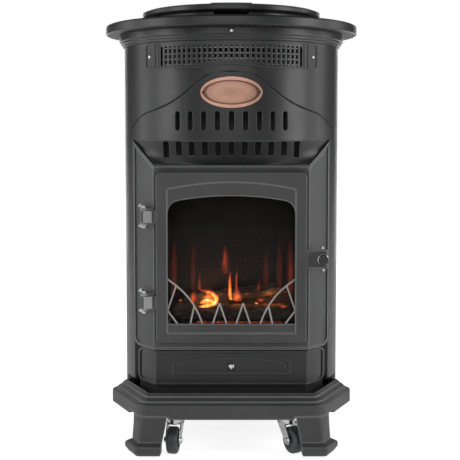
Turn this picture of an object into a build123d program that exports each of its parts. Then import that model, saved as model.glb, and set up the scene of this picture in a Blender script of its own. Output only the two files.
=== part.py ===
"""Portable gas cabinet heater in the form of a small cast stove on castors.

Millimetres. The floor is z = 0, -Y faces the user, and the origin lies under the middle
of the overall box. Most pieces are drawn about the axis of the round body, which stands
a little behind that origin: level(), facing() and flank() are planes set out from it.
"""

import os
from math import cos, hypot, radians, sin, sqrt

from build123d import *

os.makedirs("parts", exist_ok=True)

# ---------------------------------------------------------------- driving dimensions
plate_radius = 250.0  # the round top plate, which is the widest piece
plate_rear = 232.0  # its flat back edge, behind the body axis
plate_bottom, plate_top = 790.0, 808.5
body_radius = 213.5  # outside of the round sheet body
rear_shift = 16.0  # the back half of the body is set back this far
sheet = 1.5  # body sheet
body_top = 786.0
seat_gap = 0.3  # between pieces that lie on each other
run_gap = 1.0  # between pieces that move past each other
trim = 5.0  # how far a blank stands past the outline that trims it

deck_top = 118.0  # top of the plinth
skirt_bottom, leg_top = 75.0, 81.0
plinth_front = 220.0
plinth_half_front, plinth_half_side = 168.0, 232.0
plinth_corner_run = 120.0  # how far back each cut corner reaches
plinth_corner = 30.0  # rounding of its front corners
plinth_join = -54.0  # where the moulded front part runs into the round rear part
skirt_wall = 8.0
foot_flare = 12.5  # how far the feet stand out past the plinth

hood_bottom, hood_top = 586.0, 709.5
hood_skin = 1.8
frame_half, frame_flat_half = 190.0, 144.5  # outer edges and flat front of the fire surround
frame_bottom, frame_top, frame_shoulder = 191.5, 539.0, 585.5
frame_sheet, rim_width, rim_height = 1.7, 5.0, 2.4

door_half, door_bottom, door_top = 141.3, 205.0, 528.5
door_thick, door_skin = 13.5, 4.0
window_half, window_bottom, window_crown, window_shoulder = 118.5, 243.0, 482.8, 470.0
glass_thick = 4.0

bottle_radius = 159.0  # the largest gas bottle that the bay takes
bottle_clearance = 3.5

wheel_radius, wheel_width = 25.0, 20.0
castor_trail = 22.0

# ------------------------------------------------------------------- derived places
axis_y = (plate_radius - rear_shift - body_radius - foot_flare) / 2
body_bottom = deck_top + 1.3
panel_radius = body_radius + seat_gap + hood_skin  # skin of the hood and vent grille
frame_radius = body_radius + seat_gap + frame_sheet
frame_flat = sqrt(frame_radius**2 - frame_flat_half**2)
lower_radius = frame_radius - 5.5
lower_half, lower_flat_half = 180.5, 141.6
lower_flat = sqrt(lower_radius**2 - lower_flat_half**2)
bottle_y = rear_shift + body_radius - sheet - bottle_clearance - bottle_radius
partition_y = bottle_y - bottle_radius - bottle_clearance  # back face of the partition
floor_bottom, floor_sheet = skirt_bottom + 1.0, 2.0
floor_top = floor_bottom + floor_sheet


def level(z):
    """Horizontal plane at height z, centred on the body axis."""
    return Plane((0, axis_y, z))


def facing(depth):
    """Upright plane facing the user, depth in front of the body axis; its y is height."""
    return Plane((0, axis_y - depth, 0), x_dir=(1, 0, 0), z_dir=(0, -1, 0))


def flank(x):
    """Upright plane facing +X; its x runs backwards from the body axis, its y is height."""
    return Plane((x, axis_y, 0), x_dir=(0, 1, 0), z_dir=(1, 0, 0))


def radial(radius, angle, z=0.0):
    """Plane touching a cylinder about the body axis, angle degrees round from the front."""
    out = (sin(radians(angle)), -cos(radians(angle)), 0)
    along = (cos(radians(angle)), sin(radians(angle)), 0)
    return Plane((radius * out[0], axis_y + radius * out[1], z), x_dir=along, z_dir=out)


def body_plan(radius):
    """Outline of the body seen from above: two half circles set rear_shift apart."""
    with Locations((0, rear_shift / 2)):
        SlotCenterToCenter(rear_shift, 2 * radius, rotation=90)


def bay_plan(radius, flat, half):
    """Front of the fire bay seen from above: an arc cut flat in front and at the sides."""
    with BuildSketch() as plan:
        Circle(radius)
        with Locations((0, -flat / 2)):
            Rectangle(2 * half, flat, mode=Mode.INTERSECT)
    return plan.sketch


def bent_sheet(outline, outer_plan, inner_plan, low, high):
    """Sheet that stands between two plans, trimmed to an outline seen from the front."""
    with BuildPart() as sheet_part:
        with BuildSketch(level(low)):
            add(outer_plan)
            add(inner_plan, mode=Mode.SUBTRACT)
        extrude(amount=high - low)
        with BuildSketch(facing(0)):
            add(outline)
        extrude(amount=2 * body_radius, mode=Mode.INTERSECT)
    return sheet_part.part


def front_plan(inset=0.0, reach=0.0):
    """Moulded front of the plinth seen from above, moved in by inset.

    Behind its widest points the sides come in again and end reach behind plinth_join.
    """
    half, wide, run = plinth_half_front, plinth_half_side, plinth_corner_run
    end = plinth_join + reach
    end_half = wide - (end + plinth_front - run) * (wide - half) / run
    with BuildSketch() as outline:
        with BuildLine():
            Polyline(
                (-half, -plinth_front), (half, -plinth_front), (wide, run - plinth_front),
                (end_half, end), (-end_half, end), (-wide, run - plinth_front), close=True,
            )
        make_face()
        front_corners = outline.vertices().group_by(Axis.Y)[0]
        side_corners = outline.vertices().group_by(Axis.Y)[1]
        fillet(front_corners, radius=plinth_corner)
        fillet(side_corners, radius=side_corner)
        if inset:
            offset(amount=-inset, mode=Mode.REPLACE)
    return outline.sketch


def rear_plan(outer, inner):
    """Round rear of the plinth seen from above, in line with the body."""
    with BuildSketch() as outline:
        body_plan(outer)
        with Locations((0, rear_shift / 2)):
            SlotCenterToCenter(rear_shift, 2 * inner, rotation=90, mode=Mode.SUBTRACT)
        with Locations((0, plinth_join)):
            Rectangle(
                3 * body_radius, 2 * body_radius, align=(Align.CENTER, Align.MAX), mode=Mode.SUBTRACT
            )
    return outline.sketch


# ------------------------------------------------------------------------- plinth
step_one, step_two, deck_inset = 9.0, 17.5, 25.0
step_low, step_high = 103.5, 111.5
side_corner = 10.0  # rounding of the plinth's widest points
through = 120.0  # reach of a cut that leaves the front part open behind
rear_leg_angle, rear_leg_turn = 38.0, 24.0  # place round from the back, and breadth
leg_clear = 52.0  # the skirt hangs lower beyond this distance from a leg's corner

with BuildPart() as plinth:
    with BuildSketch(level(leg_top)):
        add(front_plan(reach=4))
    extrude(amount=step_low - leg_top)
    fillet(plinth.edges().group_by(Axis.Z)[-1], radius=6.5)
    with BuildSketch(level(step_low)):
        add(front_plan(step_one, reach=4 + step_one))
    extrude(amount=step_high - step_low)
    chamfer(plinth.edges().group_by(Axis.Z)[-1], length=5.5, length2=7.0)
    with BuildSketch(level(step_high)):
        add(front_plan(step_two, reach=4 + step_two))
    extrude(amount=deck_top - step_high)
    chamfer(plinth.edges().group_by(Axis.Z)[-1], length=4.5, length2=5.5)
    # the skirt hangs lower between the legs
    with BuildSketch(level(skirt_bottom)):
        add(front_plan(reach=4))
        with Locations((-plinth_half_front, -plinth_front), (plinth_half_front, -plinth_front)):
            Circle(leg_clear, mode=Mode.SUBTRACT)
    extrude(amount=leg_top - skirt_bottom)
    for low, high, inset in (
        (skirt_bottom, step_low - 7, skirt_wall),
        (step_low - 7, step_high - 6, step_two - 1),
        (step_high - 6, deck_top, deck_inset),
    ):
        with BuildSketch(level(low)):
            add(front_plan(inset, reach=through))
        extrude(amount=high - low, mode=Mode.SUBTRACT)
    with BuildSketch(level(leg_top)):
        add(rear_plan(body_radius, body_radius - skirt_wall))
    extrude(amount=deck_top - leg_top)
plinth.part.label = "plinth"
export_step(plinth.part, "parts/plinth.step")

# --------------------------------------------------------------------------- legs
foot_bottom, foot_height, foot_step = 10.0, 27.0, 33.0
foot_wall = 17.0


def leg_outline(side, front_reach, side_reach, out, wall, rounding):
    """Angle-shaped section of a leg round one plinth corner, its faces moved out."""
    half, run = plinth_half_side - plinth_half_front, plinth_corner_run
    length = hypot(half, run)
    face = (side * run / length, -half / length)
    along = (side * half / length, run / length)
    lean = (1 - half / length) / (run / length)

    def corner_at(step):
        return (side * (plinth_half_front + step * lean), -plinth_front - step)

    def front_end(step):
        return (side * (plinth_half_front - front_reach), -plinth_front - step)

    def side_end(step):
        return (
            side * plinth_half_front + along[0] * side_reach + face[0] * step,
            -plinth_front + along[1] * side_reach + face[1] * step,
        )

    inner = out - wall
    with BuildSketch() as outline:
        with BuildLine():
            Polyline(
                front_end(out), corner_at(out), side_end(out),
                side_end(inner), corner_at(inner), front_end(inner), close=True,
            )
        make_face()
        outer_corner = Vertex(*corner_at(out), 0)
        fillet(outline.vertices().sort_by_distance(outer_corner)[0], radius=rounding)
    return outline.sketch


for hand, side in (("left", -1), ("right", 1)):
    with BuildPart() as front_leg:
        for z, front_reach, side_reach, out, wall, rounding in (
            (leg_top - seat_gap, 50.0, 28.0, 0.0, skirt_wall, plinth_corner),
            (62.0, 47.0, 29.0, 0.4, skirt_wall, 16.0),
            (foot_step, 41.0, 32.0, 1.5, skirt_wall, 7.0),
            (foot_height, 40.0, 40.0, foot_flare - 1, foot_wall - 1, 9.0),
            (foot_height - 3, 40.0, 42.0, foot_flare, foot_wall, 9.0),
            (foot_bottom + 7, 40.0, 42.0, foot_flare, foot_wall, 9.0),
            (foot_bottom, 37.0, 33.0, foot_flare - 4, foot_wall - 6, 7.0),
        ):
            with BuildSketch(level(z)):
                add(leg_outline(side, front_reach, side_reach, out, wall, rounding))
        loft(ruled=True)
    front_leg.part.label = f"leg_front_{hand}"
    export_step(front_leg.part, f"parts/leg_front_{hand}.step")

    # a rear leg is part of a ring under the round rear of the plinth
    start = radians(90 - side * rear_leg_angle - rear_leg_turn / 2)
    leg_plane = Plane(
        (0, axis_y + rear_shift, 0), x_dir=(cos(start), sin(start), 0), z_dir=(sin(start), -cos(start), 0)
    )
    with BuildPart() as rear_leg:
        with BuildSketch(leg_plane):
            with BuildLine():
                Polyline(
                    (body_radius, leg_top - seat_gap), (body_radius + 1.5, foot_step),
                    (body_radius + foot_flare, foot_height), (body_radius + foot_flare, foot_bottom + 7),
                    (body_radius + foot_flare - 4, foot_bottom),
                    (body_radius + foot_flare - foot_wall, foot_bottom),
                    (body_radius - skirt_wall, foot_step), (body_radius - skirt_wall, leg_top - seat_gap),
                    close=True,
                )
            make_face()
        revolve(axis=Axis((0, axis_y + rear_shift, 0), (0, 0, 1)), revolution_arc=rear_leg_turn)
    rear_leg.part.label = f"leg_rear_{hand}"
    export_step(rear_leg.part, f"parts/leg_rear_{hand}.step")

# ---------------------------------------------------------------- floor pan and shelf
pan_inset = skirt_wall + seat_gap
pan_clear = 4.5  # from the round rear of the plinth
skirt_inner_top = step_low - 7  # underside of the first moulding step



def pan_plan(inset=0.0):
    """Outline of the floor pan inside the plinth, moved in by inset."""
    with BuildSketch() as outline:
        add(front_plan(pan_inset, reach=-4))
        body_plan(body_radius - skirt_wall - pan_clear)
        if inset:
            offset(amount=-inset, mode=Mode.REPLACE)
    return outline.sketch


with BuildPart() as floor_pan:
    with BuildSketch(level(floor_bottom)):
        add(pan_plan())
    extrude(amount=skirt_inner_top - seat_gap - floor_bottom)
    with BuildSketch(level(floor_top)):
        add(pan_plan(floor_sheet))
    extrude(amount=step_low, mode=Mode.SUBTRACT)
    # gas that leaks is heavier than air and drains through the floor
    with BuildSketch(level(floor_bottom)):
        with GridLocations(60, 90, 3, 2):
            SlotOverall(40, 12)
    extrude(amount=floor_sheet, mode=Mode.SUBTRACT)
floor_pan.part.label = "floor_pan"
export_step(floor_pan.part, "parts/floor_pan.step")

shelf_sheet = 2.0
shelf_bottom = deck_top + seat_gap
shelf_top = shelf_bottom + shelf_sheet
seat_radius, seat_rise = 148.0, 1.2

with BuildPart() as bottle_shelf:
    with BuildSketch(level(shelf_bottom)):
        body_plan(body_radius - sheet - seat_gap)
        with Locations((0, partition_y - sheet)):
            Rectangle(3 * body_radius, body_radius, align=(Align.CENTER, Align.MAX), mode=Mode.SUBTRACT)
        with Locations((0, bottle_y)):
            with PolarLocations(bottle_radius * 0.6, 6):
                SlotOverall(50, 14, mode=Mode.SUBTRACT)
    extrude(amount=shelf_sheet)
    # the bottle stands on a slightly raised round
    with BuildSketch(level(shelf_top)):
        with Locations((0, bottle_y)):
            Circle(seat_radius)
            with PolarLocations(bottle_radius * 0.6, 6):
                SlotOverall(50, 14, mode=Mode.SUBTRACT)
    extrude(amount=seat_rise)
bottle_shelf.part.label = "bottle_shelf"
export_step(bottle_shelf.part, "parts/bottle_shelf.step")

partition_half = 187.4
partition_top = 762.0
pipe_radius = 4.0
riser_x, burner_z = 150.0, 228.0  # where the gas pipe comes down, and its last level

with BuildPart() as partition:
    with BuildSketch(facing(-partition_y)):
        with Locations((0, (shelf_top + seat_gap + partition_top) / 2)):
            Rectangle(2 * partition_half, partition_top - shelf_top - seat_gap)
        with Locations((riser_x, burner_z)):
            Circle(pipe_radius + run_gap, mode=Mode.SUBTRACT)
    extrude(amount=sheet)
partition.part.label = "partition"
export_step(partition.part, "parts/partition.step")

# ------------------------------------------------------------------------ body shell
grille_bottom, grille_top, grille_half = 716.5, 765.5, 161.6
grille_arch_half, grille_arch_rise = 57.0, 6.5


def grille_outline(inset=0.0):
    """Front view of the vent grille, its lower edge raised in a shallow arch."""
    with BuildSketch() as outline:
        with BuildLine():
            Polyline(
                (-grille_arch_half, grille_bottom), (-grille_half, grille_bottom),
                (-grille_half, grille_top), (grille_half, grille_top),
                (grille_half, grille_bottom), (grille_arch_half, grille_bottom),
            )
            ThreePointArc(
                (grille_arch_half, grille_bottom), (0, grille_bottom + grille_arch_rise),
                (-grille_arch_half, grille_bottom),
            )
        make_face()
        fillet(outline.vertices().group_by(Axis.X)[0], radius=9)
        fillet(outline.vertices().group_by(Axis.X)[-1], radius=9)
        if inset:
            offset(amount=-inset, mode=Mode.REPLACE)
    return outline.sketch


cover_front = 60.0  # the back cover reaches this far forward, seen from the body axis
cover_bottom, cover_top = 124.0, 748.0
cover_lift = 12.0
slot_count, slot_pitch = 9, 6.78
slot_width, slot_length, slot_middle = 10.0, 35.5, 621.8
vent_half, vent_margin = 131.0, 2.5
slot_angles = [(n - (slot_count - 1) / 2) * slot_pitch for n in range(slot_count)]

with BuildPart() as body_shell:
    with BuildSketch(level(body_bottom)):
        body_plan(body_radius)
        with Locations((0, rear_shift / 2)):
            SlotCenterToCenter(
                rear_shift, 2 * (body_radius - sheet), rotation=90, mode=Mode.SUBTRACT
            )
    extrude(amount=body_top - body_bottom)
    # fire bay and vent window in front
    with BuildSketch(facing(0)):
        with Locations((0, (body_bottom + hood_bottom) / 2)):
            Rectangle(2 * frame_half - 6, hood_bottom - body_bottom)
    extrude(amount=2 * body_radius, mode=Mode.SUBTRACT)
    with BuildSketch(facing(0)):
        add(grille_outline(vent_margin))
        with Locations((0, grille_top)):
            Rectangle(2 * vent_half, 2 * grille_top, mode=Mode.INTERSECT)
    extrude(amount=2 * body_radius, mode=Mode.SUBTRACT)
    for angle in slot_angles:
        with BuildSketch(radial(body_radius - 4, angle, slot_middle)):
            SlotOverall(slot_length, slot_width, rotation=90)
        extrude(amount=10, mode=Mode.SUBTRACT)
    # the opening behind that the back cover closes
    with BuildSketch(level(body_bottom)):
        with Locations((0, cover_front)):
            Rectangle(3 * body_radius, 2 * body_radius, align=(Align.CENTER, Align.MIN))
    extrude(amount=cover_top + cover_lift + 3 - body_bottom, mode=Mode.SUBTRACT)
body_shell.part.label = "body_shell"
export_step(body_shell.part, "parts/body_shell.step")

# ------------------------------------------------------------------------- back cover
rail_outer = body_radius - sheet - seat_gap
rail_inner = rail_outer - 1.8
hook_heights = (190.0, 640.0)
hook_angle = 14.0  # round from the side, towards the back
hook_slot, hook_neck, hook_drop = 26.0, 13.0, 10.0
hook_inner = rail_inner - 3.5


def wall_strips(outer, inner, front, rear):
    """Two strips of the body wall between two depths behind the body axis."""
    with BuildSketch() as strips:
        body_plan(outer)
        with Locations((0, rear_shift / 2)):
            SlotCenterToCenter(rear_shift, 2 * inner, rotation=90, mode=Mode.SUBTRACT)
        with Locations((0, (front + rear) / 2)):
            Rectangle(3 * body_radius, rear - front, mode=Mode.INTERSECT)
    return strips.sketch


def hook_plane(side, radius, z):
    """Plane across the back half of the body wall where a cover hook goes through it."""
    out = (side * cos(radians(hook_angle)), sin(radians(hook_angle)))
    origin = (radius * out[0], axis_y + rear_shift + radius * out[1], z)
    return Plane(origin, x_dir=(-out[1], out[0], 0), z_dir=(out[0], out[1], 0))


with BuildPart() as cover_rails:
    with BuildSketch(level(cover_bottom)):
        add(wall_strips(rail_outer, rail_inner, cover_front - 18, cover_front + 18))
    extrude(amount=cover_top - cover_bottom)
    for side in (-1, 1):
        for z in hook_heights:
            with BuildSketch(hook_plane(side, rail_inner - 5, z + hook_slot / 2)):
                Rectangle(9, hook_slot)
            extrude(amount=12, mode=Mode.SUBTRACT)
cover_rails.part.label = "cover_rails"
export_step(cover_rails.part, "parts/cover_rails.step")

with BuildPart() as rear_cover:
    with BuildSketch(level(cover_bottom)):
        add(wall_strips(body_radius, body_radius - sheet, cover_front + 2, 2 * body_radius))
    extrude(amount=cover_top - cover_bottom)
    with BuildSketch(facing(-2 * body_radius)):
        for z in (160, 205, 690):
            with Locations((0, z)):
                with GridLocations(22, 1, 9, 1):
                    SlotOverall(30, 7, rotation=90)
        with Locations((0, 600)):
            SlotOverall(110, 34)
    extrude(amount=1.3 * body_radius, mode=Mode.SUBTRACT)
    for side in (-1, 1):
        for z in hook_heights:
            with BuildSketch(hook_plane(side, hook_inner, z + seat_gap)):
                with Locations((0, hook_neck / 2)):
                    Rectangle(5, hook_neck)
            extrude(amount=body_radius - sheet / 2 - hook_inner)
            with BuildSketch(hook_plane(side, hook_inner, z + seat_gap)):
                with Locations((0, (hook_neck - hook_drop) / 2)):
                    Rectangle(5, hook_neck + hook_drop)
            extrude(amount=2.5)
rear_cover.part.label = "rear_cover"
export_step(rear_cover.part, "parts/rear_cover.step")

# -------------------------------------------------------------- neck ring and top plate
neck_top = plate_bottom - seat_gap
plate_bore, plate_web = 150.0, 8.5  # opening for the controls; thickness inside the rim

with BuildPart() as neck_ring:
    for low, high, radius, rounding in (
        (776.0, neck_top, 224.0, 2.4),
        (770.9, 777.0, 220.6, 2.0),
        (766.5, 772.0, 217.2, 1.6),
    ):
        with BuildSketch(level(low)):
            body_plan(radius)
            with Locations((0, plate_rear - 0.5)):
                Rectangle(
                    3 * body_radius, body_radius, align=(Align.CENTER, Align.MIN),
                    mode=Mode.SUBTRACT,
                )
        extrude(amount=high - low)
        fillet(neck_ring.edges().group_by(Axis.Z)[0], radius=rounding)
    with BuildSketch(level(0)):
        body_plan(body_radius + seat_gap)
    extrude(amount=neck_top, mode=Mode.SUBTRACT)
neck_ring.part.label = "neck_ring"
export_step(neck_ring.part, "parts/neck_ring.step")

with BuildPart() as top_plate:
    with BuildSketch(level(plate_bottom)) as plate_sketch:
        Circle(plate_radius)
        with Locations((0, plate_rear)):
            Rectangle(
                3 * body_radius, body_radius, align=(Align.CENTER, Align.MIN), mode=Mode.SUBTRACT
            )
        fillet(plate_sketch.vertices(), radius=12)
    extrude(amount=plate_top - plate_bottom)
    fillet(top_plate.edges().group_by(Axis.Z)[-1], radius=4.5)
    fillet(top_plate.edges().group_by(Axis.Z)[0], radius=3.5)
    with BuildSketch(level(plate_bottom)):
        Circle(205)
    extrude(amount=plate_top - plate_web - plate_bottom, mode=Mode.SUBTRACT)
    with BuildSketch(level(plate_bottom)):
        Circle(plate_bore)
    extrude(amount=plate_top, mode=Mode.SUBTRACT)
    circles = top_plate.edges().filter_by(GeomType.CIRCLE)
    bore_edges = circles.filter_by(lambda edge: abs(edge.radius - plate_bore) < 1)
    fillet(bore_edges.sort_by(Axis.Z)[-1], radius=2)
top_plate.part.label = "top_plate"
export_step(top_plate.part, "parts/top_plate.step")

# --------------------------------------------------------------------- lid and its seat
collar_outer, collar_inner, collar_top = 162.0, 152.0, 823.0
lid_radius, lid_low, lid_rim_top, lid_crown = 177.0, 824.5, 834.0, 840.0
lid_axis_y, lid_axis_z, lid_lug_x = 178.0, 817.0, 40.0
lug_width, lug_radius = 12.0, 6.0
hinge_pin, shaft_gap = 3.0, 0.05

with BuildPart() as lid_collar:
    with BuildSketch(level(plate_top + seat_gap)):
        Circle(collar_outer)
        Circle(collar_inner, mode=Mode.SUBTRACT)
    extrude(amount=collar_top - plate_top - seat_gap)
    # finger notch in front
    with BuildSketch(facing(collar_inner - 20)):
        with Locations((0, collar_top)):
            SlotOverall(65, 20)
    extrude(amount=40, mode=Mode.SUBTRACT)
lid_collar.part.label = "lid_collar"
export_step(lid_collar.part, "parts/lid_collar.step")

with BuildPart() as lid:
    with BuildSketch(flank(0)):
        with BuildLine():
            Line((0, lid_crown - 8), (0, lid_crown))
            ThreePointArc((0, lid_crown), (85, lid_crown - 0.7), (168, lid_crown - 2.8))
            Line((168, lid_crown - 2.8), (lid_radius, lid_rim_top))
            Polyline(
                (lid_radius, lid_rim_top), (lid_radius, lid_low), (collar_outer + 3, lid_low),
                (collar_outer + 3, collar_top + seat_gap), (collar_inner - 2, collar_top + seat_gap),
                (collar_inner - 6, lid_low + 5), (0, lid_crown - 8),
            )
        make_face()
    revolve(axis=Axis((0, axis_y, 0), (0, 0, 1)))
    fillet(lid.edges().filter_by(GeomType.CIRCLE).sort_by(SortBy.RADIUS)[-2:], radius=2.5)
    # raised finger lip in front
    with BuildSketch(level(lid_rim_top - 1)):
        Circle(lid_radius - 1.5)
        Circle(lid_radius - 9, mode=Mode.SUBTRACT)
        with Locations((0, -lid_radius)):
            Rectangle(76, 40, mode=Mode.INTERSECT)
    extrude(amount=4.6)
    # two hinge lugs behind
    for side in (-1, 1):
        with BuildSketch(flank(side * lid_lug_x - lug_width / 2)):
            with Locations((lid_axis_y, lid_axis_z)):
                Circle(lug_radius)
            with BuildLine():
                Polyline(
                    (lid_axis_y - lug_radius, lid_axis_z), (lid_axis_y + 3, lid_axis_z),
                    (lid_axis_y + 3, lid_rim_top - 4), (lid_axis_y - 18, lid_rim_top - 4),
                    (lid_axis_y - 18, lid_low + 1), (lid_axis_y - lug_radius, lid_low + 1), close=True,
                )
            make_face()
            with Locations((lid_axis_y, lid_axis_z)):
                Circle(hinge_pin + shaft_gap, mode=Mode.SUBTRACT)
        extrude(amount=lug_width)
lid.part.label = "lid"
export_step(lid.part, "parts/lid.step")

ear_gap, ear_sheet = 0.5, 4.0

with BuildPart() as lid_hinge:
    for side in (-1, 1):
        middle = side * lid_lug_x
        for ear in (-1, 1):
            near = middle + ear * (lug_width / 2 + ear_gap + ear_sheet / 2)
            with BuildSketch(flank(near - ear_sheet / 2)):
                with Locations((lid_axis_y, lid_axis_z)):
                    Circle(lug_radius)
                with Locations((lid_axis_y, (plate_top + seat_gap + lid_axis_z) / 2)):
                    Rectangle(2 * lug_radius, lid_axis_z - plate_top - seat_gap)
            extrude(amount=ear_sheet)
        with BuildSketch(level(plate_top + seat_gap)):
            with Locations((middle, lid_axis_y)):
                Rectangle(lug_width + 2 * (ear_gap + ear_sheet), 2 * lug_radius)
        extrude(amount=1.6)
        with BuildSketch(flank(middle - lug_width / 2 - ear_gap - ear_sheet)):
            with Locations((lid_axis_y, lid_axis_z)):
                Circle(hinge_pin)
        extrude(amount=lug_width + 2 * (ear_gap + ear_sheet))
lid_hinge.part.label = "lid_hinge"
export_step(lid_hinge.part, "parts/lid_hinge.step")

# ------------------------------------------------------------- controls under the lid
pan_radius, pan_floor_top, pan_sheet = 148.0, 771.5, 1.5
pan_top = plate_top - plate_web - seat_gap
control_x, control_y = 45.0, -50.0  # gas knob to the right, igniter to the left
bush_radius = 6.0  # the stem that turns in the valve and carries the knob
bush_low, bush_high = 745.0, 784.0
valve_top = pan_floor_top - pan_sheet - seat_gap
igniter_radius = 8.7
knob_low, knob_high, knob_radius, knob_travel = 776.5, 799.0, 22.0, 4.0

with BuildPart() as control_pan:
    with BuildSketch(flank(0)):
        with BuildLine():
            Polyline(
                (0, pan_floor_top - pan_sheet), (pan_radius, pan_floor_top - pan_sheet),
                (pan_radius, pan_top - pan_sheet), (pan_radius + 22, pan_top - pan_sheet),
                (pan_radius + 22, pan_top), (pan_radius - pan_sheet, pan_top),
                (pan_radius - pan_sheet, pan_floor_top), (0, pan_floor_top), close=True,
            )
        make_face()
    revolve(axis=Axis((0, axis_y, 0), (0, 0, 1)))
    with BuildSketch(level(pan_floor_top - 5)):
        with Locations((control_x, control_y)):
            Circle(bush_radius + run_gap)
        with Locations((-control_x, control_y)):
            Circle(igniter_radius + seat_gap)
        with Locations((0, 60)):
            with GridLocations(24, 1, 5, 1):
                SlotOverall(60, 9, rotation=90)
    extrude(amount=10, mode=Mode.SUBTRACT)
control_pan.part.label = "control_pan"
export_step(control_pan.part, "parts/control_pan.step")

valve_half, valve_low, valve_body_top = 20.0, 733.0, 763.0
pipe_start_z = 747.0

with BuildPart() as gas_valve:
    with BuildSketch(level(valve_low)):
        with Locations((control_x, control_y)):
            RectangleRounded(2 * valve_half, 30, 5)
    extrude(amount=valve_body_top - valve_low)
    with BuildSketch(level(valve_body_top)):
        with Locations((control_x, control_y)):
            Circle(9)
    extrude(amount=valve_top - valve_body_top)
    with BuildSketch(level(744)):
        with Locations((control_x, control_y)):
            Circle(bush_radius + shaft_gap)
    extrude(amount=40, mode=Mode.SUBTRACT)
gas_valve.part.label = "gas_valve"
export_step(gas_valve.part, "parts/gas_valve.step")

with BuildPart() as valve_bush:
    with BuildSketch(level(bush_low)):
        with Locations((control_x, control_y)):
            Circle(bush_radius)
    extrude(amount=bush_high - bush_low)
valve_bush.part.label = "valve_bush"
export_step(valve_bush.part, "parts/valve_bush.step")

with BuildPart() as control_knob:
    with BuildSketch(level(knob_low)):
        with Locations((control_x, control_y)):
            Circle(knob_radius)
    extrude(amount=knob_high - knob_low - 9, taper=3)
    # grip bar across the knob
    with BuildSketch(level(knob_high - 9.5)):
        with Locations((control_x, control_y)):
            SlotOverall(38, 10, rotation=90)
    extrude(amount=9.5)
    fillet(control_knob.edges().group_by(Axis.Z)[-1], radius=1.2)
    # bore that slides down the stem when the knob is pushed
    with BuildSketch(level(knob_low)):
        with Locations((control_x, control_y)):
            Circle(bush_radius + shaft_gap)
    extrude(amount=bush_high + knob_travel + 0.4 - knob_low, mode=Mode.SUBTRACT)
control_knob.part.label = "control_knob"
export_step(control_knob.part, "parts/control_knob.step")

with BuildPart() as igniter_body:
    for low, high, radius in (
        (722, pan_floor_top + seat_gap + 0.5, igniter_radius),
        (pan_floor_top + seat_gap, pan_floor_top + 3.5, 12.5),
    ):
        with BuildSketch(level(low)):
            with Locations((-control_x, control_y)):
                Circle(radius)
        extrude(amount=high - low)
    with BuildSketch(level(752)):
        with Locations((-control_x, control_y)):
            Circle(bush_radius + shaft_gap)
    extrude(amount=40, mode=Mode.SUBTRACT)
igniter_body.part.label = "igniter_body"
export_step(igniter_body.part, "parts/igniter_body.step")

with BuildPart() as igniter_button:
    with BuildSketch(level(760)):
        with Locations((-control_x, control_y)):
            Circle(bush_radius)
    extrude(amount=786 - 760)
    fillet(igniter_button.edges().group_by(Axis.Z)[-1], radius=1.5)
igniter_button.part.label = "igniter_button"
export_step(igniter_button.part, "parts/igniter_button.step")

# ----------------------------------------------------------------------- vent grille
bar_pitch, bar_slots, bar_width, bar_top = 2.6, 29, 5.4, 758.0
rib_angles, rib_width, rib_rise = (38.4, 40.8), 1.8, 1.6


def arc_plan(radius):
    """Front half of a disc about the body axis."""
    return bay_plan(radius, radius, radius)


grille_sheet = bent_sheet(
    grille_outline(), arc_plan(panel_radius), arc_plan(body_radius + seat_gap), 700, 780
)
grille_border = bent_sheet(
    grille_outline(), arc_plan(panel_radius + 1.2), arc_plan(panel_radius - 0.5), 700, 780
)

with BuildPart() as vent_grille:
    add(grille_border)
    with BuildSketch(facing(0)):
        add(grille_outline(3))
    extrude(amount=2 * body_radius, mode=Mode.SUBTRACT)
    add(grille_sheet)
    for n in range(bar_slots):
        angle = (n - (bar_slots - 1) / 2) * bar_pitch
        x = panel_radius * sin(radians(angle))
        low = 720.8 + 11 * max(0.0, 1 - (x / 75) ** 2)
        with BuildSketch(radial(body_radius - 4, angle, (low + bar_top) / 2)):
            SlotOverall(bar_top - low, bar_width, rotation=90)
        extrude(amount=10, mode=Mode.SUBTRACT)
    # two thin ribs at each end
    for angle in rib_angles:
        for side in (-1, 1):
            with BuildSketch(radial(panel_radius - 0.5, side * angle, (grille_bottom + grille_top) / 2)):
                Rectangle(rib_width, grille_top - grille_bottom - 4)
            extrude(amount=rib_rise + 0.5)
vent_grille.part.label = "vent_grille"
export_step(vent_grille.part, "parts/vent_grille.step")

wire_radius_out, wire_radius_in, wire_end = 209.5, 208.0, 138.0

with BuildPart() as grille_wires:
    for z in (724, 734, 744, 754):
        with BuildSketch(level(z - 1)):
            add(bay_plan(wire_radius_out, wire_radius_out, wire_end))
            Circle(wire_radius_in, mode=Mode.SUBTRACT)
        extrude(amount=2)
    with BuildSketch(level(720)):
        add(bay_plan(rail_outer, rail_outer, wire_end + 2))
        Circle(wire_radius_in, mode=Mode.SUBTRACT)
        Rectangle(2 * wire_end - 4, 3 * body_radius, mode=Mode.SUBTRACT)
    extrude(amount=38)
grille_wires.part.label = "grille_wires"
export_step(grille_wires.part, "parts/grille_wires.step")

# ------------------------------------------------------------------- hood and badge
with BuildSketch() as hood_outline:
    with BuildLine() as hood_edge:
        Spline(
            (0, hood_top), (46.6, 701.5), (72, 681), (93.6, 664), (115, 651.5), (138, 642),
            (161, 634), (178, 622), (189, 608), (192.5, hood_bottom + 2),
            tangents=((1, 0), (0, -1)),
        )
        Line((192.5, hood_bottom + 2), (192.5, hood_bottom))
        Line((192.5, hood_bottom), (0, hood_bottom))
        Line((0, hood_bottom), (0, hood_top))
    make_face()
    mirror(about=Plane.YZ)

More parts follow.
